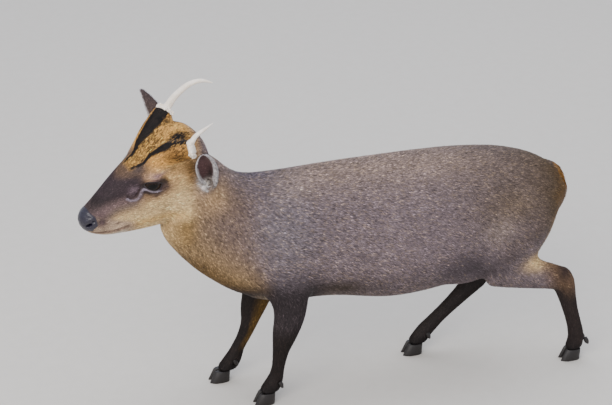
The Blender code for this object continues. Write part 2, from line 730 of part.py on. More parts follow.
# Where each leg leaves the body, as outlines in x and z, in centimetres
FORE_REGION = ((-20.0, -2.0), (-20.0, 7.0), (-12.4, 15.0), (-11.6, 19.6), (-6.0, 22.6), (-0.6, 21.6),
               (1.0, 18.0), (1.0, -2.0))
HIND_REGIONS = {
    "hind_left": ((26.0, -2.0), (26.0, 15.0), (28.4, 19.6), (31.0, 26.0), (36.0, 31.5), (43.0, 33.5),
                  (54.0, 32.0), (56.0, 20.0), (56.0, -2.0)),
    "hind_right": ((15.0, -2.0), (15.0, 8.0), (23.6, 17.0), (26.0, 23.0), (31.0, 30.0), (40.0, 33.5),
                   (54.0, 32.0), (56.0, 20.0), (56.0, -2.0)),
}
FORE_INNER, HIND_INNER, REGION_OUTER = 2.9, 2.4, 16.0


def take_leg(body, name, region, inner, sign):
    """Cuts the leg inside the region off the body, and returns it as its own object."""
    zone = prism("zone", region, sign * inner, sign * REGION_OUTER)
    inside = grow(copy_of(zone, "inside"), -GAP)
    leg = copy_of(body, name)
    combine(leg, [inside], "INTERSECT")
    keep_largest(leg)
    combine(body, [zone], "DIFFERENCE")
    return leg


def split_by(obj, cutter, names):
    """Parts an object with a thin cutter into named pieces, each the island nearest its place."""
    combine(obj, [cutter], "DIFFERENCE")
    bm = bmesh.new()
    bm.from_mesh(obj.data)
    parts = []
    for island in islands(bm):
        middle = sum((v.co for v in island), Vector()) / len(island)
        parts.append((len(island), middle, {v.index for v in island}))
    bm.free()
    parts = sorted(parts, key=lambda part: -part[0])[:len(names)]
    pieces = []
    for name, place in names:
        best = min(parts, key=lambda part: (part[1] - place).length)
        parts.remove(best)
        piece = copy_of(obj, name)
        cut = bmesh.new()
        cut.from_mesh(piece.data)
        extra = [v for v in cut.verts if v.index not in best[2]]
        bmesh.ops.delete(cut, geom=extra, context="VERTS")
        cut.to_mesh(piece.data)
        cut.free()
        pieces.append(piece)
    remove(obj)
    return pieces


def build():
    body = blended(flesh_forms())

    # The feet end level where the hooves begin
    under = slab("under", metres(15, 0, HOOF_HEIGHT - 10) + Vector((0, 0, GAP)), (0, 0, 1), 0.6, 0.6,
                 thickness=0.2, upright=(0, 1, 0))
    combine(body, [under], "DIFFERENCE")

    # The ears grow from the head
    for side, sign in SIDES:
        combine(body, [ear_cup(side, sign)], "UNION")
        combine(body, [ear_bowl(side, sign)], "DIFFERENCE")
    keep_largest(body)

    # The tail lies in a shallow groove behind the rump
    tail = tail_form()
    combine(body, [grow(copy_of(tail, "tail_cutter"), GAP)], "DIFFERENCE")
    tail.name = "tail"
    paint(tail, GOLD)

    # The head's openings
    cutters = [mouth_slit()]
    for side, sign in SIDES:
        cutters += eye_cutters(side, sign)
        cutters += [gland_cutter(side, sign), nostril_cutter(side, sign)]
    for cutter in cutters:
        combine(body, [cutter], "DIFFERENCE")

    # Dewclaws sit in their own shallow sockets
    for foot_name, foot in FEET.items():
        for side, sign in (("outer", 1), ("inner", -1)):
            outward = sign if foot[1] > 0 else -sign
            claw = dewclaw(f"dewclaw_{foot_name}_{side}", foot, outward)
            combine(body, [grow(copy_of(claw, "claw_cutter"), GAP)], "DIFFERENCE")

    # The four legs
    for foot_name, foot in FEET.items():
        fore = foot_name.startswith("fore")
        region = FORE_REGION if fore else HIND_REGIONS[foot_name]
        inner = FORE_INNER if fore else HIND_INNER
        leg = take_leg(body, "leg_" + foot_name, region, inner, -1 if foot[1] < 0 else 1)
        places = {"fore_left": FORE_LEFT, "fore_right": FORE_RIGHT,
                  "hind_left": SHANK_LEFT, "hind_right": SHANK_RIGHT}[foot_name]
        k = 4 if fore else 3
        joint, below, above = metres(*places[k]), metres(*places[k + 1]), metres(*places[k - 1])
        way = (above - joint).normalized() - (below - joint).normalized()
        cut = slab("joint_cut", joint, way, 0.045, 0.045)
        kind = "foreleg" if fore else "hindleg"
        side = foot_name.split("_")[1]
        upper, lower = split_by(leg, cut, ((f"{kind}_{side}_upper", metres(*places[1])),
                                           (f"{kind}_{side}_lower", metres(*places[-2]))))
        paint(upper, DARK if fore else COAT)
        paint(lower, DARK)

    # Ears, nose, head, neck and trunk
    middle = ("body", metres(15, 0, 30))
    for side, sign in SIDES:
        cut = slab("ear_cut", ear_axis(0.25, sign), head_way(0.1, sign * 0.75, 0.66), 0.024, 0.024)
        body, ear = split_by(body, cut, (middle, ("ear_" + side, ear_axis(0.6, sign))))
        paint(ear, COAT)
    cut = slab("nose_cut", in_head(*NOSE_PLANE_AT), head_way(*NOSE_PLANE_WAY), 0.034, 0.0325,
               upright=head_way(0, 0, 1))
    body, nose = split_by(body, cut, (middle, ("nose", in_head(19.5, 0, 0))))
    paint(nose, NOSE)
    cut = slab("neck_cut", metres(-20.6, 0, 40.6), (0.84, 0, -0.54), 0.12, 0.12)
    head, rest = split_by(body, cut, (("head", in_head(9, 0, 1)), ("rest", metres(15, 0, 30))))
    paint(head, GOLD)
    cut = slab("chest_cut", metres(-10.5, 0, 32.0), (0.93, 0, -0.36), 0.16, 0.16)
    neck, trunk = split_by(rest, cut, (("neck", metres(-17, 0, 36)), ("torso", metres(15, 0, 30))))
    paint(neck, COAT)
    paint(trunk, COAT)

    # Pieces of horn, bone and the eyes
    for side, sign in SIDES:
        centre = in_head(EYE_AT[0], sign * EYE_AT[1], EYE_AT[2])
        ball("eye_" + side, centre, [EYE_RADIUS * CM] * 3, detail=16, material=EYE)
        antler(side, sign)
    for foot_name, foot in FEET.items():
        for side, sign in (("outer", 1), ("inner", -1)):
            outward = sign if foot[1] > 0 else -sign
            hoof(f"hoof_{foot_name}_{side}", foot, outward)


def trim_pedicles():
    """Ends each pedicle level with its antler's seat."""
    head = bpy.data.objects["head"]
    for side, sign in SIDES:
        _, middle, base = pedicle_line(side, sign)
        along = (base - middle).normalized()
        cap = slab("cap", base + along * 0.02, along, 0.022, 0.022, thickness=0.04)
        combine(head, [cap], "DIFFERENCE")
    keep_largest(head)


def centre_on_floor():
    """Moves the whole animal so that the origin is under the middle of its box, on the floor."""
    shown = [obj for obj in bpy.data.objects if obj.type == "MESH"]
    corners = np.array([obj.matrix_world @ v.co for obj in shown for v in obj.data.vertices])
    low, high = corners.min(0), corners.max(0)
    shift = Matrix.Translation((-(low[0] + high[0]) / 2, -(low[1] + high[1]) / 2, -low[2]))
    for obj in shown:
        obj.data.transform(shift)
        obj.data.set_sharp_from_angle(angle=math.radians(50))


for old in list(bpy.data.objects):
    bpy.data.objects.remove(old)
build()
trim_pedicles()
centre_on_floor()
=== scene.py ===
# %% [markdown]
# # A muntjac, life size
# A muntjac is a small deer with short antlers on long bony stalks, a dark V on its forehead and a
# large scent gland in front of each eye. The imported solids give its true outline. This lesson
# covers them with one seamless skin, adds the eyes, lids, antlers and hooves, and lays a short
# coat of small tufts over the skin, all in the same markings.

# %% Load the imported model
import math
import bmesh
import bpy
import numpy as np
from mathutils import Matrix, Vector
from mathutils.bvhtree import BVHTree


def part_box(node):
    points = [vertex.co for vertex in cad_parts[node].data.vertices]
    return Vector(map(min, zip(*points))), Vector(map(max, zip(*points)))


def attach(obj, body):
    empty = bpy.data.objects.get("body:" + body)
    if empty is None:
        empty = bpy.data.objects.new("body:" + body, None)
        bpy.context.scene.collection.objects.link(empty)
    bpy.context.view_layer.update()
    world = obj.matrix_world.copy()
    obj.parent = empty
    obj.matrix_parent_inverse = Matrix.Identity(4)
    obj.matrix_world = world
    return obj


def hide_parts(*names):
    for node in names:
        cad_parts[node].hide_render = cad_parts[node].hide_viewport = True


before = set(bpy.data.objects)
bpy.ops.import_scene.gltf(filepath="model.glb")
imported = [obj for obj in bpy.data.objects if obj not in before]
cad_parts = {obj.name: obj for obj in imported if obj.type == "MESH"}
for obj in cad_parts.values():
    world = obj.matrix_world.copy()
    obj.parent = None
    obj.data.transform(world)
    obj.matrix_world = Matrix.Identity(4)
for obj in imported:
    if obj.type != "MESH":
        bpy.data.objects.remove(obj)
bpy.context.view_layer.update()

# %% [markdown]
# ## Camera, floor and light
# The photograph was taken from the animal's left, a little in front and from 1.8 m up, so the
# camera looks down by 25 degrees through a long lens. The day was overcast. A sun lamp would throw
# hard shadows, so a bright pale world with two very large lamps gives the same soft light, and a
# plain pale floor keeps the eye on the coat.

# %% Camera
AIM = Vector((-0.05601, 0.04091, 0.357))
DISTANCE, AZIMUTH, ELEVATION = 3.5, math.radians(-16), math.radians(25)
back = Vector((math.sin(AZIMUTH) * math.cos(ELEVATION), -math.cos(AZIMUTH) * math.cos(ELEVATION),
               math.sin(ELEVATION)))


def link(name, data):
    """Adds an object for a mesh, a camera or a lamp to the scene."""
    made = bpy.data.objects.new(name, data)
    bpy.context.scene.collection.objects.link(made)
    return made


camera = link("camera", bpy.data.cameras.new("camera"))
camera.data.lens, camera.data.sensor_width = 118.38, 36
camera.location = AIM + back * DISTANCE
camera.rotation_mode = "QUATERNION"
camera.rotation_quaternion = (-back).to_track_quat("-Z", "Y")
bpy.context.scene.camera = camera
print("camera at", [round(x, 3) for x in camera.location])


# %% Colours and the one function that adds a node
def linear(hex_colour):
    """An sRGB colour written as #rrggbb, as linear red, green and blue."""
    shares = [int(hex_colour[k:k + 2], 16) / 255 for k in (1, 3, 5)]
    return tuple(s / 12.92 if s <= 0.04045 else ((s + 0.055) / 1.055) ** 2.4 for s in shares)


def rgba(hex_colour):
    """The same colour as a socket takes it, with its alpha."""
    return (*linear(hex_colour), 1)


def feed(tree, made, inputs):
    """Gives each input of a node a value, or the output that feeds it."""
    for name, value in inputs.items():
        if isinstance(value, bpy.types.NodeSocket):
            tree.links.new(value, made.inputs[name])
        else:
            made.inputs[name].default_value = value


def node(tree, kind, inputs, **settings):
    """Adds a node with its settings and inputs."""
    made = tree.nodes.new(kind)
    for name, value in settings.items():
        setattr(made, name, value)
    feed(tree, made, inputs)
    return made


def new_material(name):
    """An empty node material, with its tree, its shader and its Object coordinates."""
    material = bpy.data.materials.new(name)
    material.use_nodes = True
    tree = material.node_tree
    shader = tree.nodes["Principled BSDF"]
    place = node(tree, "ShaderNodeTexCoord", {}).outputs["Object"]
    return material, tree, shader, place


def blend(tree, factor, a, b):
    """Two colours, or what two outputs give, mixed by a factor."""
    mixed = node(tree, "ShaderNodeMix", {"Factor": factor, "A": a, "B": b}, data_type="RGBA")
    return mixed.outputs["Result"]


def toned(tree, pattern, low, high, at_low, at_high):
    """The tint on a mesh's points, times at_low where a pattern is low and at_high where it is high."""
    tint = node(tree, "ShaderNodeAttribute", {}, attribute_name="tint")
    shade = node(tree, "ShaderNodeMapRange", {"Value": pattern, "From Min": low, "From Max": high,
                                              "To Min": at_low, "To Max": at_high})
    tone = node(tree, "ShaderNodeVectorMath", {0: tint.outputs["Color"], 1: shade.outputs["Result"]},
                operation="MULTIPLY")
    return tone.outputs["Vector"]


print("white is", linear("#ffffff"))

# %% Floor
# Floor plaster: pale, matt and faintly mottled, so that shadows show softly on it.
plaster, tree, shader, place = new_material("floor_plaster")
grain = node(tree, "ShaderNodeTexNoise", {"Vector": place, "Scale": 40.0, "Detail": 4.0})
feed(tree, shader, {"Base Color": blend(tree, grain.outputs["Fac"], rgba("#cfcbc2"), rgba("#d6d2ca")),
                    "Roughness": 0.9})


def object_of(name, bm):
    """A new object from a bmesh, which it frees."""
    mesh = bpy.data.meshes.new(name)
    bm.to_mesh(mesh)
    bm.free()
    return link(name, mesh)


bm = bmesh.new()
bmesh.ops.create_grid(bm, x_segments=2, y_segments=2, size=8)
floor = object_of("floor", bm)
floor.data.materials.append(plaster)
print("floor ready")


# %% Light
def lamp(name, place, aim, size, power, colour):
    """A large soft lamp at a place, turned to what it lights."""
    made = link(name, bpy.data.lights.new(name, "AREA"))
    made.data.size, made.data.energy, made.data.color = size, power, colour
    made.location = place
    made.rotation_euler = (Vector(aim) - Vector(place)).to_track_quat("-Z", "Y").to_euler()


sky = bpy.data.worlds.new("overcast")
sky.use_nodes = True
feed(sky.node_tree, sky.node_tree.nodes["Background"], {"Color": rgba("#eef2ff"), "Strength": 1.06})
bpy.context.scene.world = sky
lamp("key", (-1.9, -2.6, 2.4), (0, 0, 0.3), 2.6, 116, linear("#fff9f2"))
lamp("top", (0.6, 0.9, 3.6), (0, 0, 0.3), 3.0, 60, linear("#f2f5ff"))

# %% [markdown]
# ## Places on the head
# Everything on the head is measured in the head's own frame, in centimetres forward, to the
# animal's left and up, from a point inside the skull. The head is turned a little towards the
# viewer and tipped, so one matrix takes those places to the world and its transpose takes world
# places back.

# %% The head's frame
HEAD_AT = Vector((-0.27701, 0.00091, 0.465))
HEAD_TURN = (Matrix.Rotation(math.radians(14.0), 3, "Z") @ Matrix.Rotation(math.radians(-14.9), 3, "Y")
             @ Matrix.Rotation(math.radians(12.7), 3, "X") @ Matrix.Diagonal((-1.0, -1.0, 1.0)))
TURN = np.array(HEAD_TURN)
SIDES = (("left", 1), ("right", -1))
EYE_BALL = 1.7  # the eyeball's radius in centimetres
EYE_AT = (7.5, 2.7, 3.6)


def in_head(forward, left, up):
    """The world place of a place in the head's frame, in centimetres."""
    return HEAD_AT + HEAD_TURN @ Vector((forward, left, up)) * 0.01


def to_head(points):
    """World places as rows of forward, left and up in centimetres."""
    return (points - np.array(HEAD_AT)) @ TURN * 100


def to_world(place):
    """The way back from to_head."""
    return place @ TURN.T * 0.01 + np.array(HEAD_AT)


def sided(place):
    """Head places with both sides of the animal laid on the left."""
    return place * (1, 0, 1) + abs(place) * (0, 1, 0)


print("left eye at", [round(x, 3) for x in in_head(*EYE_AT)])


# %% Measuring along lines
def ramp(x, low, high):
    """Goes smoothly from 0 at low to 1 at high."""
    t = np.clip((x - low) / (high - low), 0, 1)
    return t * t * (3 - 2 * t)


def to_line(points, line):
    """For each point, how far it is from a bent line, and how far along it the nearest place is."""
    line = np.asarray(line, float)
    best = np.full(len(points), 1e9)
    along = np.zeros(len(points))
    for k, (start, end) in enumerate(zip(line[:-1], line[1:])):
        run = end - start
        t = np.clip((points - start) @ run / (run @ run), 0, 1)
        away = np.linalg.norm(points - start - t[:, None] * run, axis=1)
        near = away < best
        best[near], along[near] = away[near], (k + t[near]) / (len(line) - 1)
    return best, along


print("ramp at the middle:", ramp(np.array([0.5]), 0, 1))

# %% [markdown]
# ## One skin
# A real hide has no seams, but the solids meet at thin gaps and their faces are coarse. Joining
# them with booleans would keep every crease. Instead, copies of the flesh are grown a third of a
# millimetre so that they overlap, and a voxel remesh wraps them. Sinking the result by the depth
# of the coat leaves room for the hair, so that the tips of the tufts end where the solids do. The
# eyeballs fill their sockets for now, so that the lids get something to lie on. A ball fills the
# gap where each ear's cup ends on the head.

# %% Wrap the flesh
LEGS = [f"{end}leg_{side}_{part}" for end in ("fore", "hind") for side, _ in SIDES
        for part in ("upper", "lower")]
FLESH = ["torso", "neck", "head", "nose", "ear_left", "ear_right", "tail"] + LEGS
VOXEL = 0.0016
GROWTH, EAR_GROWTH, EYE_GROWTH = 0.0003, 0.0005, 0.0009


def merged_copy(bm, name, growth):
    """Adds a CAD node's mesh to bm with its loose triangles merged, grown a little."""
    piece = bmesh.new()
    piece.from_mesh(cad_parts[name].data)
    bmesh.ops.remove_doubles(piece, verts=piece.verts, dist=1e-5)
    piece.normal_update()
    for v in piece.verts:
        v.co += v.normal * growth
    copy = bpy.data.meshes.new("copy")
    piece.to_mesh(copy)
    piece.free()
    bm.from_mesh(copy)
    bpy.data.meshes.remove(copy)


def with_modifiers(obj):
    """Keeps what an object's modifiers make as its own mesh."""
    made = bpy.data.meshes.new_from_object(obj.evaluated_get(bpy.context.evaluated_depsgraph_get()))
    obj.modifiers.clear()
    old, obj.data = obj.data, made
    bpy.data.meshes.remove(old)


bm = bmesh.new()
for name in FLESH:
    merged_copy(bm, name, EAR_GROWTH if name.startswith("ear") else GROWTH)
for side, sign in SIDES:
    merged_copy(bm, "eye_" + side, EYE_GROWTH)
    foot = Matrix.Translation(in_head(-1.15, sign * 5.1, 0.0))
    bmesh.ops.create_icosphere(bm, subdivisions=3, radius=0.0092, matrix=foot)
skin = object_of("skin", bm)
wrap = skin.modifiers.new("wrap", "REMESH")
wrap.mode, wrap.voxel_size = "VOXEL", VOXEL
with_modifiers(skin)
print("wrapped in", len(skin.data.polygons), "faces")


# %% Smooth the wrap
def rows_of(mesh, what="co"):
    """The places of a mesh's points as rows, or their normals."""
    flat = np.empty(len(mesh.vertices) * 3, np.float32)
    mesh.vertices.foreach_get(what, flat)
    return flat.reshape(-1, 3).astype(float)


def put_points(mesh, points):
    mesh.vertices.foreach_set("co", points.astype(np.float32).ravel())
    mesh.update()


def ear_share(points, limit=0.006):
    """1 on the ears, fading to 0 at 5 mm from the surfaces of their solids."""
    away = np.full(len(points), limit)
    for name in ("ear_left", "ear_right"):
        low, high = (np.array(corner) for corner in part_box(name))
        close = np.flatnonzero(((points > low - limit) & (points < high + limit)).all(1))
        bm = bmesh.new()
        bm.from_mesh(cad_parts[name].data)
        tree = BVHTree.FromBMesh(bm)
        bm.free()
        for k in close:
            found = tree.find_nearest(Vector(points[k]), limit)[3]
            if found is not None and found < away[k]:
                away[k] = found
    return 1 - ramp(away, 0.002, 0.005)


def weigh(name, shares):
    """Gives the skin a vertex group with a share for each point."""
    group = skin.vertex_groups.new(name=name)
    for k, share in enumerate(shares):
        group.add([k], float(share), "REPLACE")


points = rows_of(skin.data)
place = to_head(points)
EAR_FOOT = (-0.9, 5.6, 0.6)
on_head = ramp(place[:, 0], -3.5, -1.0) * ramp(points[:, 2], 0.36, 0.40)
ear_foot = ramp(1.9 - np.linalg.norm(sided(place) - EAR_FOOT, axis=1), 0, 0.7)
# The head keeps its form, the ears even more so, and only the feet of their cups are softened.
weigh("soft", np.maximum((1 - 0.75 * on_head) * (1 - 0.92 * ear_share(points)), ear_foot))
smooth = skin.modifiers.new("smooth", "SMOOTH")
smooth.factor, smooth.iterations, smooth.vertex_group = 0.5, 24, "soft"
with_modifiers(skin)
print("smoothed", len(skin.data.vertices), "points")

# %% [markdown]
# ## Face
# A face lives from its lids, lips, nostrils and the slits of its scent glands, which are a
# millimetre or two deep. The voxels are too coarse for them, and finer ones everywhere would be
# far too many, so only the skin there is divided once more. It is then shaped by rules in the
# head's frame: each presses the skin in or out along a line, as a loop tool would in clay.

# %% Finer skin where the face needs it
GLAND = ((9.9, 3.4, 3.1), (10.2, 3.3, 2.5), (10.7, 3.2, 1.95), (11.2, 3.0, 1.8), (11.9, 3.0, 2.1),
         (12.4, 2.8, 2.6))
SLIT = ((12.15, 2.8, 2.9), (11.9, 2.9, 2.5), (11.3, 3.1, 2.35), (10.7, 3.2, 2.6), (10.25, 3.2, 3.3),
        (9.8, 3.2, 4.0))
MOUTH = ((12.9, 2.9, -3.1), (14.7, 2.7, -2.95), (15.9, 2.5, -2.85), (17.4, 2.0, -2.55),
         (18.8, 1.3, -2.2), (19.5, 0, -2.1))
NOSTRIL = ((19.6, 0.95, -0.35), (19.3, 1.3, -0.05), (18.9, 1.55, 0.2), (18.4, 1.8, 0.35))


def fine_zone(place):
    """How far inside the finely modelled face a place is: positive inside."""
    folded = sided(place)
    eye = 2.5 - np.linalg.norm(folded - EYE_AT, axis=1)
    gland = 1.2 - to_line(folded, GLAND)[0]
    mouth = 0.7 - to_line(folded, MOUTH)[0]
    nose = 2.6 - np.linalg.norm(folded - (19.2, 0, -0.4), axis=1)
    return np.maximum.reduce([eye, gland, mouth, nose])


bm = bmesh.new()
bm.from_mesh(skin.data)
bm.edges.ensure_lookup_table()
inside = fine_zone(to_head(rows_of(skin.data))) > 0
bm.verts.index_update()
picked = [e for e in bm.edges if inside[e.verts[0].index] and inside[e.verts[1].index]]
bmesh.ops.subdivide_edges(bm, edges=picked, cuts=1, use_grid_fill=True)
bm.normal_update()
bm.to_mesh(skin.data)
bm.free()
print("divided", len(picked), "edges")


# %% Eye openings and lids
def eye_frame(sign):
    """The eye's centre and its ways along the lids, up and out, in the head's frame."""
    centre = np.array((EYE_AT[0], sign * EYE_AT[1], EYE_AT[2]))
    out = np.array((0.30, sign * 0.93, 0.12))
    out /= np.linalg.norm(out)
    along = np.array((1.0, sign * -0.32, 0.2))
    along -= out * (along @ out)
    along /= np.linalg.norm(along)
    up = np.cross(along, out) * sign
    return centre, along, up, out


def almond(p):
    """The upper and lower edge of the eye's opening at p centimetres along the lids."""
    t = (p + 0.25) / 1.80
    swell = 1 - np.clip(t, -1, 1) ** 2
    line = -0.17 + 0.33 * t
    return line + 1.0 * swell ** 0.55, line - (0.66 - 0.18 * t) * swell ** 0.75, abs(t)


def on_lids(place, sign):
    """Where head places are around an eye: from its centre, how far off, along and up the ball,
    and how far inside the opening, which is negative outside."""
    centre, along, up, out = eye_frame(sign)
    d = place - centre
    r = np.linalg.norm(d, axis=1) + 1e-9
    p = EYE_BALL * np.arctan2(d @ along, d @ out)
    q = EYE_BALL * np.arcsin(np.clip(d @ up / r, -1, 1))
    upper, lower, t = almond(p)
    inside = np.minimum(upper - q, q - lower)
    inside = np.where(t < 1, inside, -1.8 * (t - 1) - abs(q + 0.17 - 0.33 * np.sign(p)) * 0.8)
    front = d @ out > 0
    return d, r, p, q, np.where(front, inside, -3.0)


points = rows_of(skin.data)
place = to_head(points)
for _, sign in SIDES:
    d, r, p, q, inside = on_lids(place, sign)
    close = (r < 3.0) & (d @ eye_frame(sign)[3] > 0)
    edge = ramp(inside, -0.03, 0.09)
    # A lid is 1.3 mm thick at its edge and joins the skin about it within half a centimetre.
    lid = EYE_BALL + 0.13 + (np.maximum(r, 1.84) - 1.83) * ramp(-inside, 0.05, 0.55)
    crease = 0.14 * np.exp(-((inside + 0.34) / 0.12) ** 2) * ramp(q, 0.0, 0.6)
    new_r = (lid - crease) * (1 - edge) + 1.38 * edge
    new_r = r + (new_r - r) * ramp(3.0 - r, 0, 0.5)
    move = np.where(close, new_r / r, 1)
    place = np.where(close[:, None], eye_frame(sign)[0] + d * move[:, None], place)


put_points(skin.data, to_world(place))
print("opened the lids")


# %% Glands, mouth, nostrils and lips
def press(place, normals, line, depth, width):
    """Moves head places along their normals by depth centimetres near a line, fading over width."""
    away, _ = to_line(sided(place), line)
    return place + normals * (depth * np.exp(-(away / width) ** 2))[:, None]


LOWER_LID = ((6.0, 4.1, 2.0), (6.9, 4.1, 2.1), (7.8, 4.2, 2.55), (8.5, 4.1, 3.0), (9.0, 3.7, 3.4),
             (9.5, 3.4, 3.5), (9.9, 3.4, 3.1))
UPPER_LID = ((8.5, 3.6, 5.3), (7.4, 4.0, 5.5), (6.4, 4.1, 5.0))
BROW = ((9.8, 2.6, 5.2), (8.6, 3.2, 6.1), (7.2, 3.5, 6.5), (5.8, 3.8, 6.0))
POUCH = ((11.3, 2.9, 3.5), (10.7, 3.0, 3.9), (10.1, 3.0, 4.5))
NOSE_TOP = ((18.4, 1.9, 1.0), (18.9, 1.0, 1.7), (19.0, 0, 1.9))
PHILTRUM = ((20.0, 0, -0.6), (20.3, 0, -1.4), (20.2, 0, -2.2))
WING = ((18.0, 2.1, 0.2), (18.4, 2.0, 0.9), (19.0, 1.5, 0.9), (19.7, 1.0, 0.4))
# Each rule is a line, the depth that it is pressed out and the width of the press, in centimetres.
rules = ((LOWER_LID, 0.12, 0.20), (GLAND, 0.20, 0.24), (POUCH, 0.16, 0.55), (SLIT, -0.36, 0.15),
         (BROW, 0.10, 0.5), (UPPER_LID, 0.10, 0.40), (MOUTH, -0.22, 0.12), (NOSTRIL, -0.42, 0.20),
         (WING, 0.12, 0.25), (PHILTRUM, -0.12, 0.12), (NOSE_TOP, 0.05, 0.3))
place = to_head(rows_of(skin.data))
normals = rows_of(skin.data, "normal") @ TURN
open_eye = np.zeros(len(place), bool)
for _, sign in SIDES:
    d, r, p, q, inside = on_lids(place, sign)
    open_eye |= (inside > -0.06) & (r < 2.3)
before = place.copy()
for line, depth, width in rules:
    place = press(place, normals, line, depth, width)
place[open_eye] = before[open_eye]
put_points(skin.data, to_world(place))
print("pressed", len(rules), "lines")

# %% [markdown]
# ## Fewer faces on the body
# One mesh under 200,000 triangles has to carry the whole skin. Larger voxels would coarsen the
# face too. The Decimate modifier takes faces away by weight: the face keeps all of its own, and
# the rest come off the body, where the coat hides the skin.

# %% Thin out the body
SKIN_TRIANGLES = 186_000


def triangles(mesh):
    return len(mesh.loops) - 2 * len(mesh.polygons)


points = rows_of(skin.data)
place = to_head(points)
keep = ramp(fine_zone(place), -1.5, 0.0)
keep = np.maximum(keep, 0.35 * ramp(place[:, 0], 2.0, 6.0) * ramp(points[:, 2], 0.36, 0.40))
weigh("free", 1 - keep)
thin = skin.modifiers.new("thin", "DECIMATE")
thin.vertex_group, thin.vertex_group_factor = "free", 1000
held = triangles(skin.data)
thin.ratio = SKIN_TRIANGLES / held
with_modifiers(skin)
print("skin:", triangles(skin.data), "triangles, from", held)

# %% [markdown]
# ## Markings
# A muntjac's markings run into each other over the whole coat. A painted image would need an
# unwrap and would show one side only, and a shader can't be shared by skin and tufts, so one
# function gives the colour at any place on the body, and both store it on their points. It starts
# from the grey-brown of the flanks and mixes in one layer after another. Each layer is a soft mask
# in body or head places, so it follows the form from every side.

# %% Mixing layers of colour
SHIFT = np.array((-0.05601, 0.04091, 0.0))
NECK_FRONT = ((-27.5, 39.0), (-26.8, 36.2), (-25.3, 32.3), (-22.3, 28.1), (-18.2, 24.0), (-12.2, 20.0))


def in_body(points):
    """World places in centimetres from under the withers, with y 0 in the body's middle."""
    return (points - SHIFT) * 100


def mix(colours, hex_colour, share):
    """Mixes a colour into rows of colours by a share for each row."""
    return colours + (np.array(linear(hex_colour)) - colours) * np.clip(share, 0, 1)[:, None]


def layered(colours, layers):
    """Mixes in one layer after another, each a colour with its shares."""
    for hex_colour, share in layers:
        colours = mix(colours, hex_colour, share)
    return colours


def blob(points, centre, size):
    """1 at a centre, fading to 0 at about its size, which may differ along each way."""
    return np.exp(-(((points - np.array(centre)) / np.array(size)) ** 2).sum(1))


def patchy(points, size, seed=0.0):
    """Soft random patches of about a size in metres, from -1 to 1, made of a few waves."""
    total = np.zeros(len(points))
    for k, way in enumerate(((0.8, 0.3, 0.5), (-0.4, 0.9, 0.2), (0.1, -0.5, 0.9), (0.7, 0.6, -0.4))):
        total += np.sin(points @ np.array(way) * (6.0 + 1.7 * k) / size + seed + 2.1 * k)
    return total / 4


print("under the withers:", in_body(np.zeros((1, 3))).round(1))


# %% Trunk markings
def trunk_colour(points, normals):
    """Grey-brown with a violet cast, ochre in front, browner behind."""
    body = in_body(points)
    x, y, z = body.T
    nx, ny, nz = normals.T
    spine = np.exp(-(y / 1.3) ** 2) * ramp(nz, 0.45, 0.85)
    painted_elbow_shade = blob(np.column_stack([x, abs(y), z]), (4.2, 6.0, 20.9), (6.5, 3.2, 2.5))
    away, _ = to_line(body[:, ::2], NECK_FRONT)
    neck = ramp(-x, 8.5, 14.5) * ramp(away, 0, 14) + ramp(-x, 7.0, 12.0) * ramp(14 - away, 0, 14)
    under = ramp(-nz, 0.45, 0.9) * np.exp(-(y / 3.2) ** 2) * ramp(x, -12, -8)
    groove, _ = to_line(body[:, ::2], ((34.5, 24.5), (38.0, 27.0), (42.5, 29.5), (45.5, 33.0)))
    edge = ramp(nx, 0.50, 0.9) * ramp(x, 34, 38) * ramp(z, 18.5, 20.5) * ramp(31 - z, 0, 4)
    return layered(np.tile(linear("#7a6c70"), (len(points), 1)), (
        # The back paler, partly its own colour and partly painted light from above, the underside
        # darker, partly painted shade, and the browner rump.
        ("#937f74", ramp(nz, 0.25, 0.95) * 0.85),
        ("#64595c", ramp(-nz, -0.15, 0.6) * ramp(30 - z, 0, 10) * 0.8),
        ("#685a54", ramp(x, 18, 36) * ramp(z, 24, 36) * 0.9),
        # The dark hollow over the forelegs, and a painted violet-grey sheen on the shoulder.
        ("#332b2e", 0.92 * blob(body, (-8, 0, 22.6), (7.0, 99, 3.8))),
        ("#787279", 0.6 * blob(body, (-6, 0, 34), (6, 99, 8))),
        # A dark line down the middle of the nape and back, and the grey nape beside it.
        ("#3f363a", spine * (0.80 * ramp(-x, 2, 13) + 0.25)),
        ("#5f5760", 0.8 * blob(body, (-10.5, 0, 42.5), (5.5, 99, 4.0))),
        # Painted shade in the fold behind each elbow.
        ("#382e20", 0.8 * painted_elbow_shade),
        # The brown neck, its ochre front and painted shade low on the throat.
        ("#79655a", neck * ramp(44 - z, 0, 5) * 0.8),
        ("#9b7f58", neck * ramp(10.5 - away, 0, 8.0) * 0.85),
        ("#5f4722", neck * ramp(5.0 - away, 0, 4.2) * ramp(34 - z, 0, 7) * 0.85),
        # A pale line under the belly.
        ("#a8978a", under * 0.8),
        # The thigh: a brown patch, a pale patch on its muscle that is partly a painted highlight, and
        # painted shade in the groove between its muscles.
        ("#6d5c48", 0.5 * blob(body, (36.0, 0, 34.0), (5.0, 99, 3.0))),
        ("#8f7f74", 0.5 * blob(body, (33.0, 0, 29.6), (3.0, 99, 3.0))),
        ("#5a4c45", np.exp(-(groove / 2.2) ** 2) * 0.55),
        # The olive rear of the rump, golden low down, and the pale edge of the thigh.
        ("#54432c", ramp(nx, -0.2, 0.7) * ramp(x, 31, 44) * ramp(z, 24, 33) * 0.9),
        ("#6b4a19", ramp(nx, 0.45, 0.85) * ramp(x, 38, 43) * ramp(z, 22, 26) * 0.85),
        ("#bda070", edge * 0.9),
    ))


print("trunk base colour", [round(c, 3) for c in linear("#7a6c70")])


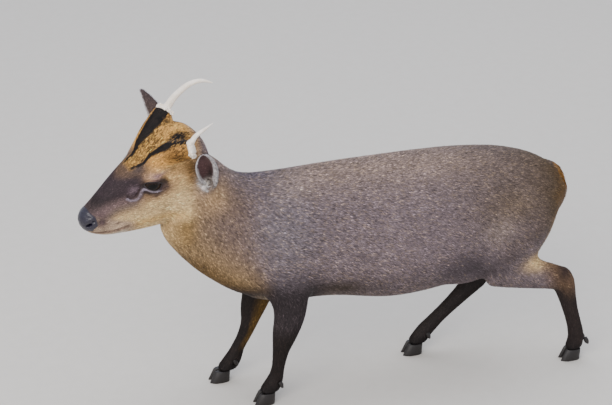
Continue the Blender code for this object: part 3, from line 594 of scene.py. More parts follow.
# %% Leg markings
def leg_colour(points, normals, colour):
    """Blackish legs with golden inner sides, and a tan hollow over the hock."""
    body = in_body(points)
    x, y, z = body.T
    nx, ny, nz = normals.T
    left = y < 0
    inner = np.where(left, ny, -ny)
    fore, hind = ramp(3.5 - x, 0, 5), ramp(x, 12, 20)
    gold = fore * ramp(inner, 0.0, 0.5) * ramp(nx, -0.30, 0.35) * ramp(21.5 - z, 0, 2) * ramp(z, 5.5, 8.5)
    brisket = blob(body, (-8.6, -3.4, 19.0), (1.6, 1.4, 2.6)) * ramp(-nz + inner * 0.5, 0.0, 0.6)
    thigh = hind * left
    shank = thigh * ramp(x + 0.4 * z, 48.0, 53.0) * ramp(25.0 - z, 0, 3.0)
    front = ramp(-nx, -0.2, 0.6)
    far = hind * ~left * np.maximum(ramp(x, 24, 30), ramp(19.5 - z, 0, 1.5))
    outer = ramp(ny, 0.0, 0.5) * ramp(z, 11.0, 15.0)
    return layered(colour, (
        # Forelegs: grey-black above, brown-black below, golden on their inner sides.
        ("#2b2426", fore * ramp(25.5 - z, 0, 5.0) * 0.94),
        ("#1b1310", fore * ramp(np.where(left, 16.5, 21.0) - z, 0, 4.0) * 0.95),
        ("#644b22", gold * np.where(left, 0.5, 0.85)),
        # A pale tuft between the forelegs.
        ("#a8937a", brisket * 0.9),
        # The left thigh, with painted shade where it meets the flank.
        ("#766868", thigh * 0.45 * ramp(24 - z, 0, 5) * ramp(43 - x, 0, 6)),
        ("#453d41", thigh * 0.92 * blob(body, (29.0, -5, 22.4), (8.0, 9, 3.4))),
        # The tan hollow over the left hock, the brown shank and the dark point of the hock.
        ("#e9c48c", thigh * 0.95 * blob(body, (40.8, 0, 21.9), (3.0, 99, 1.6)) * ramp(nz + nx, -0.2, 0.5)),
        ("#6e5233", shank * 0.85),
        ("#332624", thigh * blob(body, (46.6, 0, 19.2), (2.1, 99, 2.0)) * 0.88),
        # Black-brown below the left hock.
        ("#2a201c", thigh * ramp(18.0 - z, 0, 3.0) * ramp(x, 42, 45) * (0.35 + 0.65 * front)),
        ("#261d1c", thigh * ramp(16.8 - z, 0, 4.5) * 0.95),
        # The right hind leg: black in front and on its inner side, partly painted shade, and brown on its
        # outer side.
        ("#17100c", far * ramp(24.5 - z, 0, 4.0) * (1 - 0.85 * outer) * 0.95),
        ("#5e4427", far * outer * blob(body, (34.0, 6, 15.0), (3.4, 9, 3.6)) * 0.85),
        ("#775a30", far * ramp(-ny, 0.0, 0.5) * blob(body, (30.0, 5, 21.5), (2.6, 9, 2.6)) * 0.85),
        # Black hair around the hooves.
        ("#161111", ramp(4.5 - z, 0, 2) * 0.9),
    ))


print("leg colours ready")

# %% [markdown]
# The face is painted in the head's own places. The V starts between the eyes and runs up the
# front of both stalks. The muzzle is dark along its top, down to the scent glands, over pale
# lips with one dark spot.

# %% Face markings
STRIPES = {
    "left": ((10.0, 1.1, 6.8), (9.0, 1.6, 7.0), (8.0, 2.0, 7.3), (7.3, 2.0, 7.8), (6.7, 2.0, 8.2),
             (5.9, 2.5, 8.8), (5.1, 2.9, 9.4), (4.0, 3.1, 9.9), (2.6, 3.1, 10.2), (0.6, 3.8, 10.1)),
    "right": ((10.6, 0.9, 6.4), (9.6, 1.0, 6.8), (8.5, 1.1, 7.3), (7.6, 1.6, 7.7), (6.6, 2.1, 8.2),
              (5.4, 2.3, 9.0), (4.0, 2.6, 9.7), (2.5, 3.1, 10.3), (0.8, 3.9, 10.7), (-1.0, 4.7, 10.9)),
}
# Half the stripe's width in centimetres at each of its points.
STRIPE_WIDTHS = {"left": (0.18, 0.24, 0.30, 0.38, 0.50, 0.60, 0.76, 1.04, 1.45, 1.6),
                 "right": (0.10, 0.26, 0.40, 0.50, 0.64, 0.84, 1.08, 1.25, 1.35, 1.4)}


def stripes(place, left):
    """1 inside the dark stripe up each stalk, 0 outside, with a hairy edge."""
    share = np.zeros(len(place))
    for side, mine in (("left", left), ("right", ~left)):
        away, along = to_line(place, STRIPES[side])
        width = np.interp(along, np.linspace(0, 1, len(STRIPE_WIDTHS[side])), STRIPE_WIDTHS[side])
        share = np.where(mine, ramp(width + 0.12 - away, 0, 0.24), share)
    return share


def dark_v(place, left):
    """Both stripes, with the ragged patch where the left one spreads on to the crown."""
    patch = left * np.minimum(1, 1.8 * blob(place, (1.3, 2.1, 9.2), (1.5, 1.0, 0.9)))
    return np.maximum(stripes(place, left), patch)


def forehead_patch(place):
    """The gold between the stripes."""
    f, side, up = place.T
    return ramp(2.4 - side - 0.12 * (f - 4.0), 0, 0.7) * ramp(10.8 - f, 0, 1.2) * ramp(up, 5.4, 6.2)


def face_colour(place, left, colour):
    """For head places with all on the left, and whether each is from there: the face's colours."""
    f, _, up = place.T
    fold, _ = to_line(place, ((3.6, 5.4, 7.3), (2.2, 5.9, 6.9), (0.8, 6.0, 6.1), (-0.4, 4.9, 4.6)))
    jaw, _ = to_line(place, ((12.5, 2.8, -3.3), (8.0, 3.6, -3.8), (3.5, 4.4, -4.8)))
    border = 1.0 - 0.9 * ramp(f, 14.0, 17.0) - 0.2 * ramp(11.0 - f, 0, 2.0)
    muzzle = ramp(up, border - 0.3, border + 1.3) * ramp(f, 8.8, 10.6)
    pale = ramp(0.9 - up - 0.62 * (16.9 - f), 0, 1.1) * ramp(f, 11.0, 13.2)
    lid = np.linalg.norm((place - (7.65, 3.9, 3.35)) / (2.35, 9, 1.52), axis=1)
    ridge = np.minimum(to_line(place, LOWER_LID)[0], to_line(place, GLAND)[0])
    return layered(colour, (
        # Tan cheeks, more golden upwards, olive under the jaw and behind it.
        ("#dcba88", np.ones(len(f)) * 0.94),
        ("#ecbd82", ramp(up, -1.5, 3.5) * 0.95),
        ("#cf9648", ramp(up, 5.4, 8.0) * 0.9),
        ("#84673a", ramp(-up, 4.5, 7.0) * ramp(9.0 - f, 0, 5.0) * 0.85),
        ("#a3845a", ramp(3.6 - f, 0, 5.0) * ramp(5.5 - up, 0, 3) * 0.8),
        # A darker patch on the temple, and painted shade before the ear and under the left burr.
        ("#94733f", blob(place, (3.6, 5.2, 5.6), (2.2, 9, 2.2)) * 0.6),
        ("#5c3f17", blob(place, (0.8, 5.2, 3.6), (1.5, 9, 2.6)) * 0.85),
        ("#6f4c1c", blob(place, (3.6, 5.0, 8.8), (1.7, 9, 1.2)) * 0.85),
        # Painted shadow in the crease that runs from the temple to the ear.
        ("#261a0b", np.exp(-(fold / 0.75) ** 2) * ramp(4.4 - f, 0, 2.5) * 0.8),
        # A golden line along the jaw.
        ("#c79b55", np.exp(-(jaw / 0.9) ** 2) * 0.5),
        # The muzzle: a grey-brown border, then dark, its sides lighter partly with painted sheen, and
        # blackish on its top.
        ("#7a685b", ramp(up, border - 2.2, border + 0.2) * ramp(f, 9.0, 11.5) * ramp(up, -1.9, -0.6)),
        ("#745f5e", muzzle * 0.92),
        ("#120d10", muzzle * ramp(up - 0.25 * (14.0 - f), 1.9, 3.9) * 0.94),
        # The dark of the muzzle fades out over the brow.
        ("#382c30", ramp(f, 7.8, 9.4) * ramp(up, 2.6, 4.0) * 0.92),
        ("#6b543f", ramp(f, 6.6, 8.4) * ramp(up, 5.3, 6.3) * 0.7),
        ("#473c3d", blob(place, (9.2, 2.2, 6.8), (1.7, 1.0, 0.8)) * 0.85),
        # The gold forehead, and the dark V up the stalks.
        ("#cf9c51", forehead_patch(place) * 0.97),
        ("#0e0a0c", dark_v(place, left) * 0.99),
        # Pale lips and chin, dark beside the nose, with one dark spot over the mouth.
        ("#ae9680", pale * 0.9),
        ("#4d3b40", blob(place, (17.3, 2.2, -0.2), (1.15, 9, 1.4)) * 0.95),
        ("#c4b9ab", ramp(-up, 3.2, 3.8) * ramp(f, 13.0, 15.0) * 0.85),
        ("#453733", blob(place, (14.8, 2.6, -1.6), (0.42, 9, 0.26)) * 0.85),
        ("#5c463f", ramp(0.40 - to_line(place, MOUTH)[0], 0, 0.3) * ramp(f, 12.3, 13.4) * 0.85),
        # Dark lids in a brown ring, with painted shade under the lower lid, and a violet patch on the
        # upper lid that is partly a painted highlight.
        ("#1f1719", ramp(1.25 - lid, 0, 0.45) * 0.95),
        ("#4a3b39", blob(place, (5.7, 4.1, 2.3), (1.2, 3, 1.1)) * 0.9),
        ("#4d3c40", blob(place, (7.6, 4.0, 1.5), (2.2, 3, 0.95)) * 0.88),
        ("#8f7278", blob(place, (7.0, 4.1, 5.35), (1.5, 3, 0.75)) * 0.9),
        # The scent gland: a dark pouch, a lighter fold and a pale rim, with its black slit.
        ("#3a2e33", blob(place, (11.1, 3.2, 2.9), (1.7, 3, 0.9)) * 0.9),
        ("#6c5a62", blob(place, (10.9, 3.0, 3.75), (0.85, 3, 0.6)) * 0.9),
        ("#b0a3b2", ramp(0.30 - ridge, 0, 0.2) * ramp(f, 6.5, 7.5) * 0.9),
        ("#0f0b0d", ramp(0.22 - to_line(place, SLIT)[0], 0, 0.16)),
    ))


def leather_share(place):
    """Where the bare nose is: 1 on the leather, 0 on the coat."""
    f, side, up = place.T
    edge = 18.0 + 0.75 * ramp(up, 1.0, 2.2) + 0.9 * ramp(-0.5 - up, 0, 0.9)
    return ramp(f - edge + 0.10 * (2.0 - side), -0.12, 0.12) * ramp(up, -1.75, -1.45)


print("stripe points:", len(STRIPES["left"]))

# %% Ear markings
# An ear's axis runs from its root to its tip, and its cup opens towards EAR_MOUTH. The widths are
# half of what it measures across, at shares of the way up it.
EAR_ROOT, EAR_TIP = np.array((-2.1, 4.3, -2.7)), np.array((0.9, 10.6, 11.0))
EAR_LENGTH = np.linalg.norm(EAR_TIP - EAR_ROOT)
EAR_AXIS = (EAR_TIP - EAR_ROOT) / EAR_LENGTH
EAR_MOUTH = np.array((0.5, 0.8, 0.05))
EAR_MOUTH = EAR_MOUTH - EAR_AXIS * (EAR_MOUTH @ EAR_AXIS)
EAR_MOUTH /= np.linalg.norm(EAR_MOUTH)
EAR_WIDTHS = ((0.10, 0.18, 0.30, 0.48, 0.66, 0.82, 0.94, 1.0),
              (0.38, 0.60, 1.06, 1.50, 1.66, 1.22, 0.64, 0.2))


def ear_places(place):
    """For head places on the left: how far up the ear, and how far back across it."""
    t = (place - EAR_ROOT) @ EAR_AXIS / EAR_LENGTH
    off = place - EAR_ROOT - ((place - EAR_ROOT) @ EAR_AXIS)[:, None] * EAR_AXIS
    return t, off @ np.cross(EAR_AXIS, EAR_MOUTH) / np.interp(t, *EAR_WIDTHS)


def ear_colour(place, normals, colour, on_ear):
    """The back of the ear, its dark cup, its pale rim and the pale hair at its foot."""
    t, edge = ear_places(place)
    facing = normals @ EAR_MOUTH
    away = np.linalg.norm(place - EAR_ROOT - EAR_AXIS * 4.1 - EAR_MOUTH * 0.4, axis=1)
    cup_foot = ramp(2.6 - away, 0, 0.4) * ramp(facing, -0.3, 0.2)
    share = np.maximum(on_ear, cup_foot)
    cup = ramp(facing, 0.0, 0.4)
    rim = np.maximum.reduce([ramp(-edge, 0.84, 0.95) * ramp(facing, -0.6, -0.1),
                             ramp(edge, 0.52, 0.78) * ramp(facing, -0.6, -0.1), ramp(edge, 0.58, 0.80)])
    rim = rim * ramp(t, 0.05, 0.15)
    ear = layered(colour, (
        # The back, darker towards the tip.
        ("#65554e", np.ones(len(t))),
        ("#3b3032", ramp(t, 0.5, 1.0) * 0.8),
        # The cup, darkest in its middle and paler at its foot.
        ("#65494a", cup * 0.95),
        ("#2a1b1b", cup * blob(np.column_stack([t, edge]), (0.38, 0.25), (0.20, 0.40)) * 0.85),
        ("#8b776b", cup * ramp(0.30 - t, 0, 0.10) * 0.8),
        ("#d2cccd", rim * 0.94),
    ))
    colour = colour + (ear - colour) * share[:, None]
    return mix(colour, "#e4dad2", blob(place, np.array(EAR_FOOT) - (0, 0, 0.6), (1.2, 1.5, 1.3)) * 0.94)


def foot_share(place):
    """1 at the foot of each ear's cup, fading out within about a centimetre."""
    return np.minimum(1, 1.5 * blob(sided(place), EAR_FOOT, (1.2, 1.3, 1.3)))


def head_share(points, place):
    """1 on the head and its stalks, 0 on the neck."""
    behind = place[:, 0] + 0.30 * (place[:, 2] - 3.0)
    return ramp(behind, -2.2, 1.4) * ramp(points[:, 2], 0.30, 0.36)


print("an ear is", round(EAR_LENGTH * 10), "mm long from its root")

# %% Tail, and all markings together
TAIL_LOW, TAIL_HIGH = (np.array(corner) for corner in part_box("tail"))


def tail_share(points):
    """1 on the tail, 0 off it."""
    inside = np.minimum(points - TAIL_LOW, TAIL_HIGH - points).min(1)
    reach = 0.15 + 0.35 * ramp(TAIL_HIGH[2] - points[:, 2], 0.0, 0.03)
    front = TAIL_LOW[0] + (TAIL_HIGH[0] - TAIL_LOW[0]) * reach
    return ramp(inside, -0.002, 0.003) * ramp(points[:, 0] - front, 0, 0.006)


def tail_colour(points, normals, colour):
    """Golden brown on top, with white hair down its sides and under it."""
    tail = tail_share(points)
    down = ramp((TAIL_HIGH[2] - points[:, 2]) / (TAIL_HIGH[2] - TAIL_LOW[2]), 0.30, 0.75)
    across = abs(points[:, 1] - (TAIL_LOW[1] + TAIL_HIGH[1]) / 2) / (TAIL_HIGH[1] - TAIL_LOW[1]) * 2
    fringe = tail * ramp(across + 0.5 * ramp(-normals[:, 0], 0.2, 0.6), 0.50, 0.85) * down
    return layered(colour, (
        ("#80561f", tail * ramp(normals[:, 0] + normals[:, 2], -0.3, 0.3)),
        ("#e2dad0", fringe * 0.95),
    ))


def markings(points, normals, on_ear):
    """The colour of skin and coat at world places, and where the bare nose is."""
    colour = leg_colour(points, normals, trunk_colour(points, normals))
    place = to_head(points)
    turned = normals @ TURN * np.where(place[:, 1:2] < 0, (1, -1, 1), (1, 1, 1))
    folded = sided(place)
    face = face_colour(folded, place[:, 1] > 0, colour)
    colour = colour + (face - colour) * head_share(points, place)[:, None]
    colour = mix(colour, "#c39f72", blob(folded, (-1.8, 5.2, -3.8), (3.6, 5, 3.0)) * 0.8)
    colour = ear_colour(folded, turned, colour, on_ear)
    leather = leather_share(folded)
    colour = tail_colour(points, normals, mix(colour, "#1d192c", leather))
    return colour * (1 + 0.10 * patchy(points, 0.05))[:, None], leather


points, normals = rows_of(skin.data), rows_of(skin.data, "normal")
on_ear = ear_share(points)
colour, leather = markings(points, normals, on_ear)
print("painted", len(colour), "points")

# %% [markdown]
# ## Sink the skin under the coat
# The coat lies about 3 mm deep on the trunk, 1.4 mm on the legs and under 1 mm on the face. The
# nose, the lids and the glands are bare, so there the skin stays where the solids are. Moving each
# point in along its normal is enough, because the depth is small beside the form.

# %% Coat depth
TRUNK_DEPTH, LESS_ON_LEGS, FACE_DEPTH, EAR_DEPTH = 0.0030, 0.0016, 0.0008, 0.0003


def coat_depth(points, on_ear, leather):
    """How deep the coat lies over each world place, in metres."""
    place = sided(to_head(points))
    depth = TRUNK_DEPTH - LESS_ON_LEGS * ramp(0.20 - points[:, 2], 0, 0.06)
    depth += (FACE_DEPTH - depth) * head_share(points, to_head(points))
    depth += (EAR_DEPTH - depth) * on_ear
    bare = np.minimum(np.linalg.norm(place - EYE_AT, axis=1) - 2.5, to_line(place, GLAND)[0] - 0.5)
    return depth * ramp(bare, -0.3, 0.3) * (1 - leather)


depth = coat_depth(points, on_ear, leather)
put_points(skin.data, points - normals * depth[:, None])
tint = skin.data.color_attributes.new("tint", "FLOAT_COLOR", "POINT")
tint.data.foreach_set("color", np.column_stack([colour, np.ones(len(colour))]).astype(np.float32).ravel())
skin.data.polygons.foreach_set("use_smooth", [True] * len(skin.data.polygons))
print("depth from", round(depth.min() * 1000, 2), "to", round(depth.max() * 1000, 2), "mm")

# %% Hide material
# Hide under a short coat: matt, with a fine grain along which light breaks up.
hide, tree, shader, place = new_material("hide_under_coat")
ticks = node(tree, "ShaderNodeTexNoise", {"Vector": place, "Scale": 700.0, "Detail": 3.0})
bump = node(tree, "ShaderNodeBump", {"Height": ticks.outputs["Fac"], "Distance": 0.0006, "Strength": 0.6})
feed(tree, shader, {"Base Color": toned(tree, ticks.outputs["Fac"], 0.3, 0.7, 0.55, 1.1),
                    "Normal": bump.outputs["Normal"], "Roughness": 0.75, "Specular IOR Level": 0.3})
print("hide grain of about", round(1000 / 700, 1), "mm")

# %% Nose material
# Nose leather: bare, damp and cobbled, so it shines in small soft patches.
leather_skin, tree, shader, place = new_material("nose_leather")
cobbles = node(tree, "ShaderNodeTexVoronoi", {"Vector": place, "Scale": 620.0}, feature="SMOOTH_F1")
bump = node(tree, "ShaderNodeBump",
            {"Height": cobbles.outputs["Distance"], "Distance": 0.0008, "Strength": 0.6}, invert=True)
feed(tree, shader, {"Base Color": toned(tree, cobbles.outputs["Distance"], 0.1, 0.8, 1.15, 0.55),
                    "Normal": bump.outputs["Normal"], "Roughness": 0.34, "Specular IOR Level": 0.5,
                    "Coat Weight": 0.2, "Coat Roughness": 0.15})
print("nose cobbles of about", round(1000 / 620, 1), "mm")

# %% Dress the skin
starts, corners = np.empty(len(skin.data.polygons), np.int32), np.empty(len(skin.data.loops), np.int32)
skin.data.polygons.foreach_get("loop_start", starts)
skin.data.loops.foreach_get("vertex_index", corners)
bare = np.minimum.reduceat(leather[corners], starts) > 0.4
skin.data.materials.clear()
for material in (hide, leather_skin):
    skin.data.materials.append(material)
skin.data.polygons.foreach_set("material_index", bare.astype(np.int32))
print("bare nose faces:", int(bare.sum()))
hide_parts(*FLESH)
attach(skin, "root")
print("skin finished")

# %% [markdown]
# ## The lie of the coat
# Hair on a deer points away from the nose: back over the head, down the neck, back along the
# trunk and down the legs. It could be combed by hand as guide curves, but a rule is shorter and
# has no gaps. One function gives the way at any place, laid flat on the skin, and another gives
# how long and wide a tuft is there. Tufts are smallest on the face, and short on the legs.

# %% Leg lines
# A line down the middle of each leg in body places: left and right fore, left and right hind.
LEG_LINES = (
    ((-7.0, -5.0, 27.0), (-4.8, -5.6, 21.6), (-4.6, -5.8, 17.6), (-5.6, -5.8, 13.2), (-7.5, -5.8, 3.0)),
    ((-7.0, 5.0, 27.0), (-6.4, 5.6, 21.6), (-7.4, 5.5, 17.0), (-8.6, 5.2, 13.2), (-13.5, 5.2, 3.0)),
    ((38.4, -4.2, 30.0), (34.5, -5.2, 23.5), (37.0, -5.9, 20.2), (46.3, -5.8, 17.2), (48.5, -5.9, 10.0),
     (50.0, -5.9, 3.0)),
    ((37.5, 4.2, 30.5), (30.0, 5.4, 22.6), (30.8, 5.4, 19.8), (34.4, 5.0, 14.4), (27.0, 5.1, 8.0),
     (23.0, 5.2, 3.0)),
)


def unit(rows):
    return rows / (np.linalg.norm(rows, axis=1)[:, None] + 1e-12)


def line_ways(points, line):
    """How far points are from a bent line, and the way the line runs nearest to them."""
    line = np.asarray(line)
    away, along = to_line(points, line)
    runs = unit(line[1:] - line[:-1])
    at = along * (len(line) - 1) - 0.5
    low = np.clip(np.floor(at).astype(int), 0, len(runs) - 1)
    high = np.clip(low + 1, 0, len(runs) - 1)
    t = np.clip(at - low, 0, 1)[:, None]
    return away, unit(runs[low] * (1 - t) + runs[high] * t)


print("legs with lines:", len(LEG_LINES))


# %% Lie of the coat
def lie_of_coat(points, normals, on_ear):
    """The way the coat lies at world places, flat on the skin."""
    x, y, z = points.T
    way = np.tile((1.0, 0.0, -0.32), (len(points), 1))
    way[:, 2] -= 0.35 * blob(in_body(points), (36, 0, 28), (9, 99, 9))
    front = ramp(-x, 0.10, 0.20)[:, None]
    way = way * (1 - front) + np.array((0.62, 0.0, -0.78)) * front
    chest = (ramp(-x, 0.16, 0.26) * ramp(-normals[:, 2], -0.2, 0.5))[:, None]
    way = way * (1 - chest) + np.array((0.45, 0.0, -0.9)) * chest
    for line in LEG_LINES:
        away, run = line_ways(points, np.array(line) * 0.01 + SHIFT)
        share = (ramp(0.055 - away, 0, 0.02) * ramp(0.25 - z, 0, 0.06))[:, None]
        way = way * (1 - share) + run * share
    place = to_head(points)
    sign = np.sign(place[:, 1])
    head = np.column_stack([-np.ones(len(place)), 0.12 * sign, -0.06 + 0.05 * (place[:, 2] - 1.0)])
    head[:, 2] = np.clip(head[:, 2], -0.45, 0.30)
    share = head_share(points, place)[:, None]
    way = way * (1 - share) + unit(head) @ TURN.T * share
    for _, side in SIDES:
        axis = (EAR_TIP - EAR_ROOT) * (1, side, 1)
        axis = TURN @ (axis / np.linalg.norm(axis))
        mine = (np.maximum(on_ear, foot_share(place)) * (sign == side))[:, None]
        way = way * (1 - mine) + axis * mine
    tail = tail_share(points)[:, None]
    way = way * (1 - tail) + np.array((0.15, 0, -1.0)) * tail
    return unit(way - normals * (way * normals).sum(1)[:, None])


withers = SHIFT[None] + (0, 0, 0.43)
print("the lie at the withers:", lie_of_coat(withers, np.array([[0, 0, 1.0]]), np.zeros(1)))


# %% Length and width of the tufts
def tuft_sizes(points, on_ear):
    """A tuft's length and width in metres."""
    x, _, z = points.T
    place = to_head(points)
    length, width = np.full(len(x), 0.0068), np.full(len(x), 0.00120)
    for share, new_length, new_width in (
        (ramp(-x, 0.10, 0.20), 0.0066, 0.00116),  # neck
        (ramp(0.23 - z, 0, 0.06), 0.0058, 0.00110),  # tops of the legs
        (ramp(0.15 - z, 0, 0.09), 0.0045, 0.0010),  # lower legs
        (ramp(blob(in_body(points), (46, 0, 30), (5, 9, 9)), 0.2, 1.0), 0.0088, 0.0013),  # rump
        (head_share(points, place), 0.0056, 0.00105),
        (head_share(points, place) * ramp(place[:, 0], 6.0, 15.0), 0.0030, 0.0008),  # muzzle
        (on_ear, 0.0048, 0.0010),
        (on_ear * ramp(ear_places(sided(place))[1], 0.5, 0.9), 0.0085, 0.0010),  # rear edge of the ear
        (foot_share(place), 0.0120, 0.0011),  # foot of the ear's cup
        (ramp(0.042 - z, 0, 0.010), 0.0075, 0.0010),  # fringe over the hooves
        (tail_share(points), 0.0180, 0.0016),
    ):
        length += (new_length - length) * share
        width += (new_width - width) * share
    return length, width


flank = SHIFT[None] + 0.3
print("a tuft on the side:", [round(float(v[0]) * 1000, 1) for v in tuft_sizes(flank, np.zeros(1))])

# %% [markdown]
# ## Roots of the tufts
# Random points on the skin's triangles would clump, and a particle system can't follow the sizes
# of the tufts. So many more points are drawn than are needed, and a fine grid keeps one in each of
# its cells, which spaces them evenly. The nose, the open eyes, the slits of the glands and the
# line of the mouth stay bare.

# %% Scatter the roots
SPACING = 1.42  # tuft widths between roots
SPARES = 3.2  # points drawn for each that is kept, about
CELL = 1.2  # side of a grid cell, in spacings


def on_skin(mesh, rng):
    """Even random roots on a mesh: their places, their normals and their shares of the ears."""
    mesh.calc_loop_triangles()
    corners = np.empty(len(mesh.loop_triangles) * 3, np.int32)
    mesh.loop_triangles.foreach_get("vertices", corners)
    corners = corners.reshape(-1, 3)
    points, normals = rows_of(mesh), rows_of(mesh, "normal")
    a, b, c = (points[corners[:, k]] for k in range(3))
    areas = np.linalg.norm(np.cross(b - a, c - a), axis=1) / 2
    spacing = (tuft_sizes(points, on_ear)[1] * SPACING)[corners].mean(1)
    wanted = areas / spacing ** 2 * SPARES
    counts = (wanted + rng.random(len(wanted))).astype(int)
    picked = np.repeat(np.arange(len(corners)), counts)
    picked = picked[rng.permutation(len(picked))]
    u, v = rng.random(len(picked)), rng.random(len(picked))
    flip = u + v > 1
    u[flip], v[flip] = 1 - u[flip], 1 - v[flip]
    shares = np.column_stack([1 - u - v, u, v])
    roots = (points[corners[picked]] * shares[:, :, None]).sum(1)
    ups = unit((normals[corners[picked]] * shares[:, :, None]).sum(1))
    ear = (on_ear[corners[picked]] * shares).sum(1)
    # Cells come in sizes a quarter of an octave apart, and a cell's key packs its size and place.
    step = np.round(np.log2(spacing[picked]) * 4)
    cell = 2 ** (step / 4) * CELL
    keys = np.floor(roots / cell[:, None]).astype(np.int64) + 4096
    keys = (keys[:, 0] << 40) + (keys[:, 1] << 20) + keys[:, 2] + (step + 64).astype(np.int64) * (1 << 54)
    _, first = np.unique(keys, return_index=True)
    first.sort()
    return roots[first], ups[first], ear[first]


def bare_share(points):
    """1 where nothing grows."""
    place = sided(to_head(points))
    bare = leather_share(place)
    for line, width in ((SLIT, 0.30), (MOUTH, 0.16), (NOSTRIL, 0.3)):
        bare = np.maximum(bare, ramp(width - to_line(place, line)[0], 0, 0.06))
    inside = on_lids(place, 1)[4]
    return np.maximum(bare, ramp(inside, -0.34, -0.26) * (np.linalg.norm(place - EYE_AT, axis=1) < 2.4))


HOOF_TOP = 0.024
rng = np.random.default_rng(7)
roots, ups, root_ear = on_skin(skin.data, rng)
hairy = (bare_share(roots) < 0.5) & (roots[:, 2] > HOOF_TOP)
roots, ups, root_ear = roots[hairy], ups[hairy], root_ear[hairy]
print("roots:", len(roots))

# %% [markdown]
# ## Tufts
# A muntjac's hair is short and lies close, and each hair is banded dark and pale, which gives the
# coat its ticked look. Single hairs would be millions, so a tuft of a few hairs is one closed
# spindle of five points and six triangles: a root and a tip, with a left, a right and a raised
# ridge point between them. An operator for each would take minutes, so all tufts of a region are
# written into one mesh from arrays. A tip is set at its own height over the skin below it, so
# tufts follow the form. Dark roots, paler middles and dark tips stand for the bands.

# %% Locks
LOCK_WIDTH, LOCK_LENGTH = 0.0016, 0.0048


def locks_of(roots, head_roots):
    """The number of the lock that each root belongs to: hairs that share a tone.

    A lock is a few hairs wide and as long as a tuft, along the way that the coat lies.
    """
    x, y, z = roots.T
    trunk = np.column_stack([x - 0.3 * z, y, z + 0.3 * x])
    legs = np.column_stack([z, y, x])
    head = to_head(roots) * (-0.01, 0.01, 0.01)
    at = np.where((z < 0.22)[:, None], legs, np.where((head_roots > 0.5)[:, None], head, trunk))
    rows = np.floor(at[:, 1:] / LOCK_WIDTH)
    step = np.floor(at[:, 0] / LOCK_LENGTH + rows @ (0.37, 0.61))
    return np.unique(np.column_stack([rows, step]), axis=0, return_inverse=True)[1].ravel()


print("a lock is", LOCK_WIDTH * 1000, "mm wide and", LOCK_LENGTH * 1000, "mm long")

# %% Lay the tufts
ways = lie_of_coat(roots, ups, root_ear)
lengths, widths = tuft_sizes(roots, root_ear)
swing = rng.normal(0, 0.13, len(roots)) + 0.10 * patchy(roots, 0.03, 1.0)
across = np.cross(ups, ways)
ways = ways * np.cos(swing)[:, None] + across * np.sin(swing)[:, None]
across = np.cross(ups, ways)
lengths = lengths * rng.uniform(0.78, 1.18, len(roots))
widths = widths * rng.uniform(0.85, 1.2, len(roots))
rise = lengths * (0.17 + 0.05 * rng.random(len(roots)) + 0.16 * foot_share(to_head(roots)))
tips = roots + ways * lengths[:, None]
skin_tree = BVHTree.FromObject(skin, bpy.context.evaluated_depsgraph_get())
for k in range(len(tips)):
    hit, up, _, _ = skin_tree.find_nearest(Vector(tips[k]), 0.03)
    if hit is not None:
        tips[k] = np.array(hit) + np.array(up) * rise[k]
print("tips rise", round(rise.mean() * 1000, 1), "mm over the skin")

# %% Shape the tufts
middle = roots + (tips - roots) * 0.36
ridge = middle + ups * (rise * 0.35)[:, None]
base = middle - ups * (rise * 0.20)[:, None]
half = across * (widths / 2)[:, None]
tufts = np.stack([roots - ups * 0.0004, base + half, base - half, ridge, tips], axis=1)
facing = np.stack([ups, unit(ups + across * 0.75), unit(ups - across * 0.75), ups,
                   unit(ups + ways * 0.25)], axis=1)
print("tufts:", len(tufts), "length", round(lengths.mean() * 1000, 1), "mm")

# %% Colour the tufts
# Tufts of one lock share much of their tone. On the body some are golden and some dark, which is
# the ticking. The gold forehead is peppered with black, and the left stripe's top with gold.
colours, _ = markings(roots, ups, root_ear)
head_roots = head_share(roots, to_head(roots))
locks = locks_of(roots, head_roots)
lock_tone = rng.normal(0, 1, locks.max() + 1)[locks]
lock_kind = rng.random(locks.max() + 1)[locks]
rear = ramp(in_body(roots)[:, 0], 4, 30)
spread = 0.29 - 0.03 * head_roots - 0.06 * rear
tone = np.exp(rng.normal(0, 1, len(roots)) * spread * 0.8 + lock_tone * spread)[:, None]
kind = np.where(rng.random(len(roots)) < 0.65, lock_kind, rng.random(len(roots)))
light = colours @ np.array((0.2126, 0.7152, 0.0722))
ticked = (1 - head_roots) * (1 - root_ear) * ramp(light, 0.06, 0.14) * (1 - 0.3 * rear)
golden = ((kind < 0.20 * ticked) * 0.22)[:, None]
dark = ((kind > 1 - 0.22 * ticked) * 0.45)[:, None]
place, on_left = sided(to_head(roots)), to_head(roots)[:, 1] > 0
clean = ramp(4.5 - place[:, 0], 0, 2.0) * ramp(1.9 - place[:, 1], 0, 1.0)
# Round the foot of each burr, black tufts are partly painted shade between the locks.
burr_foot = blob(place, (2.4, 4.6, 8.8), (2.4, 2.5, 1.6))
crown = np.maximum(forehead_patch(place) * (1 - 0.75 * clean), burr_foot) * head_roots
inner = 0.95 * blob(place, (1.3, 2.2, 9.4), (2.1, 1.1, 1.6)) * head_roots
peppered = np.maximum(0.62 * crown, inner) * (1 - root_ear)
dark = np.maximum(dark, ((kind > 1 - peppered) * 0.88)[:, None])
stripe_ticks = ramp(4.6 - place[:, 0], 0, 2.0) * on_left
stripe_ticks *= dark_v(place, on_left) * head_roots
colours = mix(colours, "#b78a48", (kind < 0.14 * stripe_ticks) * 0.8)
colours = colours + (np.array(linear("#c2a47c")) - colours) * golden
colours = colours * (1 - dark)
edges = colours * 0.92 * tone
shades = np.stack([colours * 0.45, edges, edges, colours * 1.30 * tone, colours * 0.66 * tone], axis=1)
print("golden tufts:", int((golden > 0).sum()), "dark tufts:", int((dark > 0).sum()))

# %% Regions of the coat
REGIONS = ["face_left", "face_right", "ears", "neck_left", "neck_right", "trunk_front_left",
           "trunk_front_right", "trunk_middle_left", "trunk_middle_right", "trunk_back_left",
           "trunk_back_right", "leg_fore_left", "leg_fore_right", "leg_hind_left", "leg_hind_right", "tail"]


